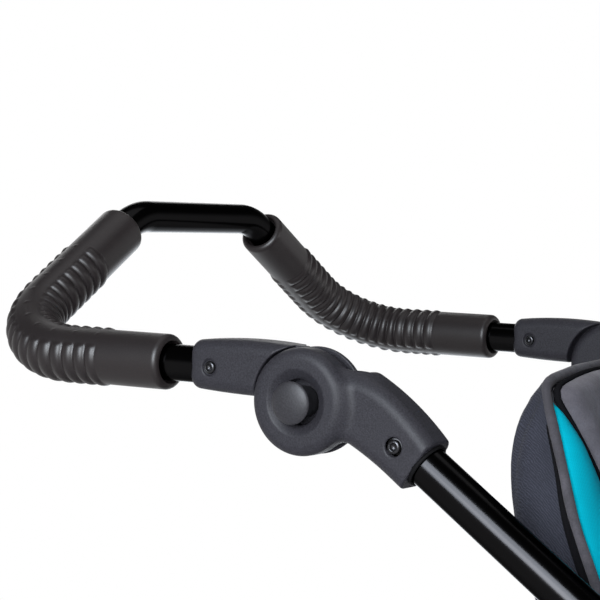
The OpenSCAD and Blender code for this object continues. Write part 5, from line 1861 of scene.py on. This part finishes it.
@dataclass
class Wheel:
    """Air tyre with a block tread on a moulded rim, drawn with outboard along +Y.

    Places across the tread are measured round the tyre's section, from the middle of the tread.
    """

    name: str
    body: str
    middle: Triple
    r: float
    blocks: int
    hub: Pair
    ring: Pair = (0.0, 0.0)
    side: int = 1
    section: float = 0.023
    bead_share: float = 1.7
    groove: float = 0.0019
    lean: float = 16.0
    block_gap: Pair = (0.36, 0.42)
    block_start: Pair = (0.0068, 0.0080)
    block_stop: Pair = (0.0285, 0.0300)
    shoulder: Pair = (0.0290, 0.0310)
    shoulder_deep: float = 0.0007
    rib_edge: float = 0.0062
    bead_line: float = 0.0455
    bead_high: float = 0.0006
    line_wide: float = 0.0011
    hub_r: float = 0.027
    wall: float = 0.009
    half: float = 0.014
    spokes: int = 7
    spoke_half: float = 0.0115
    spoke_narrows: float = 0.0040
    spoke_deep: float = 0.0085
    spoke_thins: float = 0.0025
    hollow_deep: float = 0.0022
    axle_r: float = 0.00605
    ring_r: float = 0.048
    notches: int = 12
    notch_half: float = 0.0044
    notch_floor: float = 0.0385
    stem: tuple = ((0.0, 0.0), (0.0042, 0.0002), (0.0034, 0.004), (0.0032, 0.012), (0.0024, 0.013),
                   (0.0024, 0.020), (0.0031, 0.0204), (0.0031, 0.031), (0.0026, 0.0318), (0.0, 0.032))

    @property
    def bead_r(self) -> float:
        """Radius at which the tyre sits on the rim."""
        return self.r - self.bead_share * self.section

    @property
    def suffix(self) -> str:
        """End of the node's name for a wheel that has a side."""
        return "" if self.ring == (0.0, 0.0) else "_left" if self.side > 0 else "_right"

    def build(self) -> None:
        """Makes the tyre, the rim and the valve."""
        for form, finish, slot, part in ((self.tyre, RUBBER, "tyre_rubber", "tyre"),
                                         (self.rim, RIM, "rim_plastic", "rim")):
            points, faces = form()
            node = f"{self.name}_{part}{self.suffix}"
            add_piece(f"{node}_moulded", flip(points, self.side) + self.middle, turned(faces, self.side),
                      finish, self.body, [node])
        between = math.pi / self.spokes
        aim = np.array([math.sin(between), 0.0, math.cos(between)])
        points, faces = lathe(self.stem, np.array(self.middle) + aim * (self.bead_r - self.wall), -aim, 20)
        add_piece(f"{self.name}_valve{self.suffix}", points, faces, BLACK_NYLON, self.body)

    def tyre(self) -> Mesh:
        """Skin of the tyre with its tread.

        Returns:
            The points and faces, round the wheel's middle.
        """
        ring_r = self.r - self.section
        reach = math.acos((self.bead_r - ring_r) / self.section)
        phi, turn = np.meshgrid(np.linspace(-reach, reach, 76), full_turn(11 * self.blocks))
        u = np.abs(phi) * self.section
        phase = self.blocks * turn / (2 * math.pi) + self.lean * u + 0.5 * (phi < 0)
        gap = smooth_step(*self.block_gap, np.abs(phase % 1.0 - 0.5))
        cross = gap * smooth_step(*self.block_start, u) * (1 - smooth_step(*self.block_stop, u))
        line = np.exp(-((u - self.rib_edge) / self.line_wide) ** 2)
        drop = self.shoulder_deep * smooth_step(*self.shoulder, u)
        bead = self.bead_high * np.exp(-((u - self.bead_line) / self.line_wide) ** 2)
        rad = self.section - self.groove * np.maximum(cross, line) - drop + bead
        far = ring_r + rad * np.cos(phi)
        rows = np.stack([far * np.cos(turn), rad * np.sin(phi), far * np.sin(turn)], -1)
        return rows.reshape(-1, 3), quads(*phi.shape, ring=True)

    def aside(self, p: Array, count: int) -> tuple[Array, Array]:
        """Places along and across the nearest of several arms.

        Args:
            p: Places round the wheel's middle.
            count: Number of arms, evenly spread from the top.

        Returns:
            How far each place lies along its arm and beside it.
        """
        far, step = np.hypot(p[:, 0], p[:, 2]), 2 * math.pi / count
        fold = (np.arctan2(p[:, 0], p[:, 2]) + step / 2) % step - step / 2
        return far * np.cos(fold), far * np.sin(fold)

    def spoke_form(self, p: Array) -> Array:
        """Distance to the spokes, which have a hollow along each face.

        Args:
            p: Places round the wheel's middle.

        Returns:
            One distance for each place.
        """
        along, across = self.aside(p, self.spokes)
        far, across, deep = np.hypot(p[:, 0], p[:, 2]), np.abs(across), np.abs(p[:, 1])
        t = np.clip((along - self.hub_r) / (self.bead_r - self.wall - self.hub_r), 0, 1)
        hollow = self.hollow_deep * (1 - smooth_step(0.0030, 0.0048, across))
        hollow = hollow * smooth_step(0.05, 0.15, t) * (1 - smooth_step(0.85, 0.95, t))
        spoke = meet(across - self.spoke_half + self.spoke_narrows * t,
                     deep - self.spoke_deep + self.spoke_thins * t + hollow, 0.0025)
        return np.maximum(spoke, np.maximum(far - self.bead_r + 0.004, 0.015 - along))

    def rim_form(self, p: Array) -> Array:
        """Distance to the rim with its spokes, hub and brake ring.

        Args:
            p: Places round the wheel's middle.

        Returns:
            One distance for each place.
        """
        far, y = np.hypot(p[:, 0], p[:, 2]), p[:, 1]
        band = meet(np.abs(far - self.bead_r + self.wall / 2) - self.wall / 2, np.abs(y) - self.half, 0.0020)
        hub = meet(far - self.hub_r, np.maximum(self.hub[0] - y, y - self.hub[1]), 0.0030)
        form = soft_min(soft_min(band, self.spoke_form(p), 0.0060), hub, 0.0060)
        if self.ring != (0.0, 0.0):
            disc = meet(far - self.ring_r, np.maximum(self.ring[0] - y, y - self.ring[1]), 0.0012)
            along, across = self.aside(p, self.notches)
            cut = np.maximum(np.abs(across) - self.notch_half, self.notch_floor - along)
            cut = np.maximum(cut, y - self.ring[1] + 0.001)
            form = np.minimum(form, np.maximum(disc, -cut))
        return np.maximum(form, self.axle_r - far)

    def rim(self) -> Mesh:
        """Skin of the rim.

        Returns:
            The points and faces, round the wheel's middle.
        """
        room, step = 0.004, 0.0022
        wide = self.bead_r + room
        low = min(self.hub[0], self.ring[0], -self.half) - room
        high = max(self.hub[1], self.half) + room
        return mould(self.rim_form, (-wide, low, -wide), (wide, high, wide), step)


WHEELS = [Wheel("rear", f"rear_wheel_{name}", (-0.27495, side * 0.308, 0.200), 0.200, 54, (-0.029, 0.028),
                (-0.038, -0.028), side) for name, side in SIDES.items()]
WHEELS.append(Wheel("front", "front_wheel", (0.475, 0.0, 0.155), 0.155, 42, (-0.026, 0.026)))


# Studio


@dataclass(frozen=True)
class Lamp:
    """Soft box: where it stands, the point that it faces, its width, height and watts.

    One that is for gloss only shows in glossy surfaces alone, as a reflection card does.
    """

    name: str
    place: Triple
    aim: Triple
    wide: float
    tall: float
    power: float
    gloss_only: bool = False
    cool: Triple = (0.84, 0.92, 1.0)

    def build(self) -> None:
        """Adds the lamp to the scene."""
        light = bpy.data.lights.new(self.name, "AREA")
        light.shape, light.size, light.size_y, light.energy = "RECTANGLE", self.wide, self.tall, self.power
        holder = bpy.data.objects.new(self.name, light)
        bpy.context.scene.collection.objects.link(holder)
        z = -unit(np.subtract(self.aim, self.place))
        x = unit(np.cross(UP, z))
        y = np.cross(z, x)
        holder.matrix_world = Matrix([[*row, at] for *row, at in zip(x, y, z, self.place)] + [[0, 0, 0, 1]])
        if self.gloss_only:
            light.color = self.cool
        holder.visible_camera = False
        holder.visible_diffuse = not self.gloss_only


@dataclass
class Studio:
    """Camera at the photograph's view, soft lamps and a pale floor."""

    lens: float = 122.27
    sensor: float = 36.0
    clip: Pair = (0.05, 60.0)
    place: Triple = (0.39105, -1.41435, 1.03126)
    turn: Triple = (math.radians(90 - 1.397), 0.0, math.radians(32.306))
    fill: float = 0.26
    overhead: float = 0.10
    horizon: Pair = (0.02, 0.40)
    floor_r: float = 2.6
    floor_z: float = -0.0005
    floor_fade: Pair = (0.8, 1.9)
    floor_colour: tuple[float, float, float, float] = (0.86, 0.86, 0.87, 1.0)
    floor_rough: float = 0.8
    lamps: tuple[Lamp, ...] = (
        Lamp("key", (0.10, -1.85, 1.26), (-0.22, -0.25, 0.86), 1.1, 0.8, 30.0),
        Lamp("top", (-0.3, 0.1, 2.6), (-0.2, 0.0, 0.7), 1.6, 1.2, 8.0),
        Lamp("back", (-1.8, 1.3, 1.7), (-0.3, 0.0, 0.8), 1.2, 0.9, 9.0),
        Lamp("front", (2.0, 0.6, 1.3), (0.0, 0.0, 0.65), 1.2, 1.2, 26.0),
        Lamp("gloss", (-0.155, -1.58, 1.53), (-0.185, -0.25, 0.843), 0.9, 0.9, 76.0, gloss_only=True),
        Lamp("under", (-0.88, 0.75, 0.62), (-0.62, 0.0, 1.06), 0.6, 0.6, 2.4, gloss_only=True))

    def build(self) -> None:
        """Makes the camera, the lamps, the world and the floor."""
        bpy.context.scene.view_settings.view_transform = "Standard"
        self.camera()
        for lamp in self.lamps:
            lamp.build()
        self.world()
        self.floor()

    def camera(self) -> None:
        """Makes the camera at the photograph's view."""
        scene = bpy.context.scene
        camera = bpy.data.cameras.new("camera")
        camera.lens, camera.sensor_width = self.lens, self.sensor
        camera.clip_start, camera.clip_end = self.clip
        holder = bpy.data.objects.new("camera", camera)
        holder.location, holder.rotation_euler = self.place, self.turn
        scene.collection.objects.link(holder)
        scene.camera = holder

    def ceiling(self, tree: Tree) -> Socket:
        """Brightness that glossy surfaces see: white backdrop at the horizon, dim studio overhead.

        Args:
            tree: The world's nodes.

        Returns:
            The brightness.
        """
        aim = add_node(tree, "TexCoord", "Generated", {})
        up = add_node(tree, "SeparateXYZ", "Z", {"Vector": aim})
        return range_node(tree, up, self.horizon, (1.0, self.overhead), "SMOOTHSTEP")

    def world(self) -> None:
        """Makes the white backdrop, which lights the object gently."""
        world = bpy.data.worlds.new("studio")
        bpy.context.scene.world = world
        world.use_nodes = True
        tree = world.node_tree
        path = tree.nodes.new("ShaderNodeLightPath").outputs
        direct = math_node(tree, "MAXIMUM", path["Is Camera Ray"], path["Is Transmission Ray"])
        seen = math_node(tree, "MAXIMUM", direct, path["Is Glossy Ray"])
        bright = math_node(tree, "MAXIMUM", direct, self.ceiling(tree))
        level = range_node(tree, seen, (0.0, 1.0), (self.fill, bright))
        set_inputs(tree, tree.nodes["Background"], {"Color": (1, 1, 1, 1), "Strength": level})

    def floor(self) -> None:
        """Makes the pale round floor under the wheels, which fades out into the backdrop."""
        points, faces = lathe([(self.floor_r, 0.0), (0.0, 0.0)], self.floor_z * UP, UP, 96)
        mesh = bpy.data.meshes.new("floor")
        mesh.from_pydata(points.tolist(), [], [list(f) for f in faces if len(f) == 4])
        floor = bpy.data.objects.new("floor", mesh)
        bpy.context.scene.collection.objects.link(floor)
        pale = bpy.data.materials.new("pale_floor")
        pale.use_nodes = True
        tree = pale.node_tree
        place = add_node(tree, "NewGeometry", "Position", {})
        far = add_node(tree, "VectorMath", "Value", {0: place}, operation="LENGTH")
        fade = range_node(tree, far, self.floor_fade, (1.0, 0.0), "SMOOTHSTEP")
        set_inputs(tree, tree.nodes["Principled BSDF"], {
            "Base Color": self.floor_colour, "Roughness": self.floor_rough, "Alpha": fade})
        mesh.materials.append(pale)


@dataclass
class PlainNodes:
    """CAD nodes that stay as they are and get a finish."""

    finishes: dict[str, Finish] = field(default_factory=lambda: {
        "black_tube": BLACK_PAINT, "grip_rubber": GRIP_FOAM, "housing_plastic": HOUSING,
        "fork_paint": SATIN_PAINT, "bolt_steel": STEEL, "button_plastic": BLACK_NYLON,
        "bracket_paint": SATIN_PAINT, "board": BLACK_NYLON, "teal_cloth": TEAL, "grey_cloth": GREY_WEAVE,
        "plush": PLUSH_GREY, "webbing": WEBBING, "basket_cloth": BASKET_CLOTH, "red_plastic": RED,
        "teal_plastic": TEAL_NYLON, "rim_plastic": RIM, "tyre_rubber": RUBBER, "alloy": ALLOY})

    def build(self, frame: dict) -> None:
        """Gives each CAD node its finish.

        Args:
            frame: What the frame loader returned.
        """
        slots = {s["node"]: s["material_slot"] for s in frame["record"]["subparts"]}
        for node, piece in frame["nodes"].items():
            piece.data.materials.clear()
            piece.data.materials.append(self.finishes[slots[node]].build())


def main() -> None:
    """Builds the dressed stroller."""
    logging.basicConfig(level=logging.INFO, format="%(message)s")
    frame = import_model()
    Studio().build()
    PlainNodes().build(frame)
    for part in (Handlebar(), HingeSet(), MainFrame(), Backrest(), SeatSet(), Hood(), Basket(), *WHEELS):
        part.build()


if __name__ == "__main__":
    main()
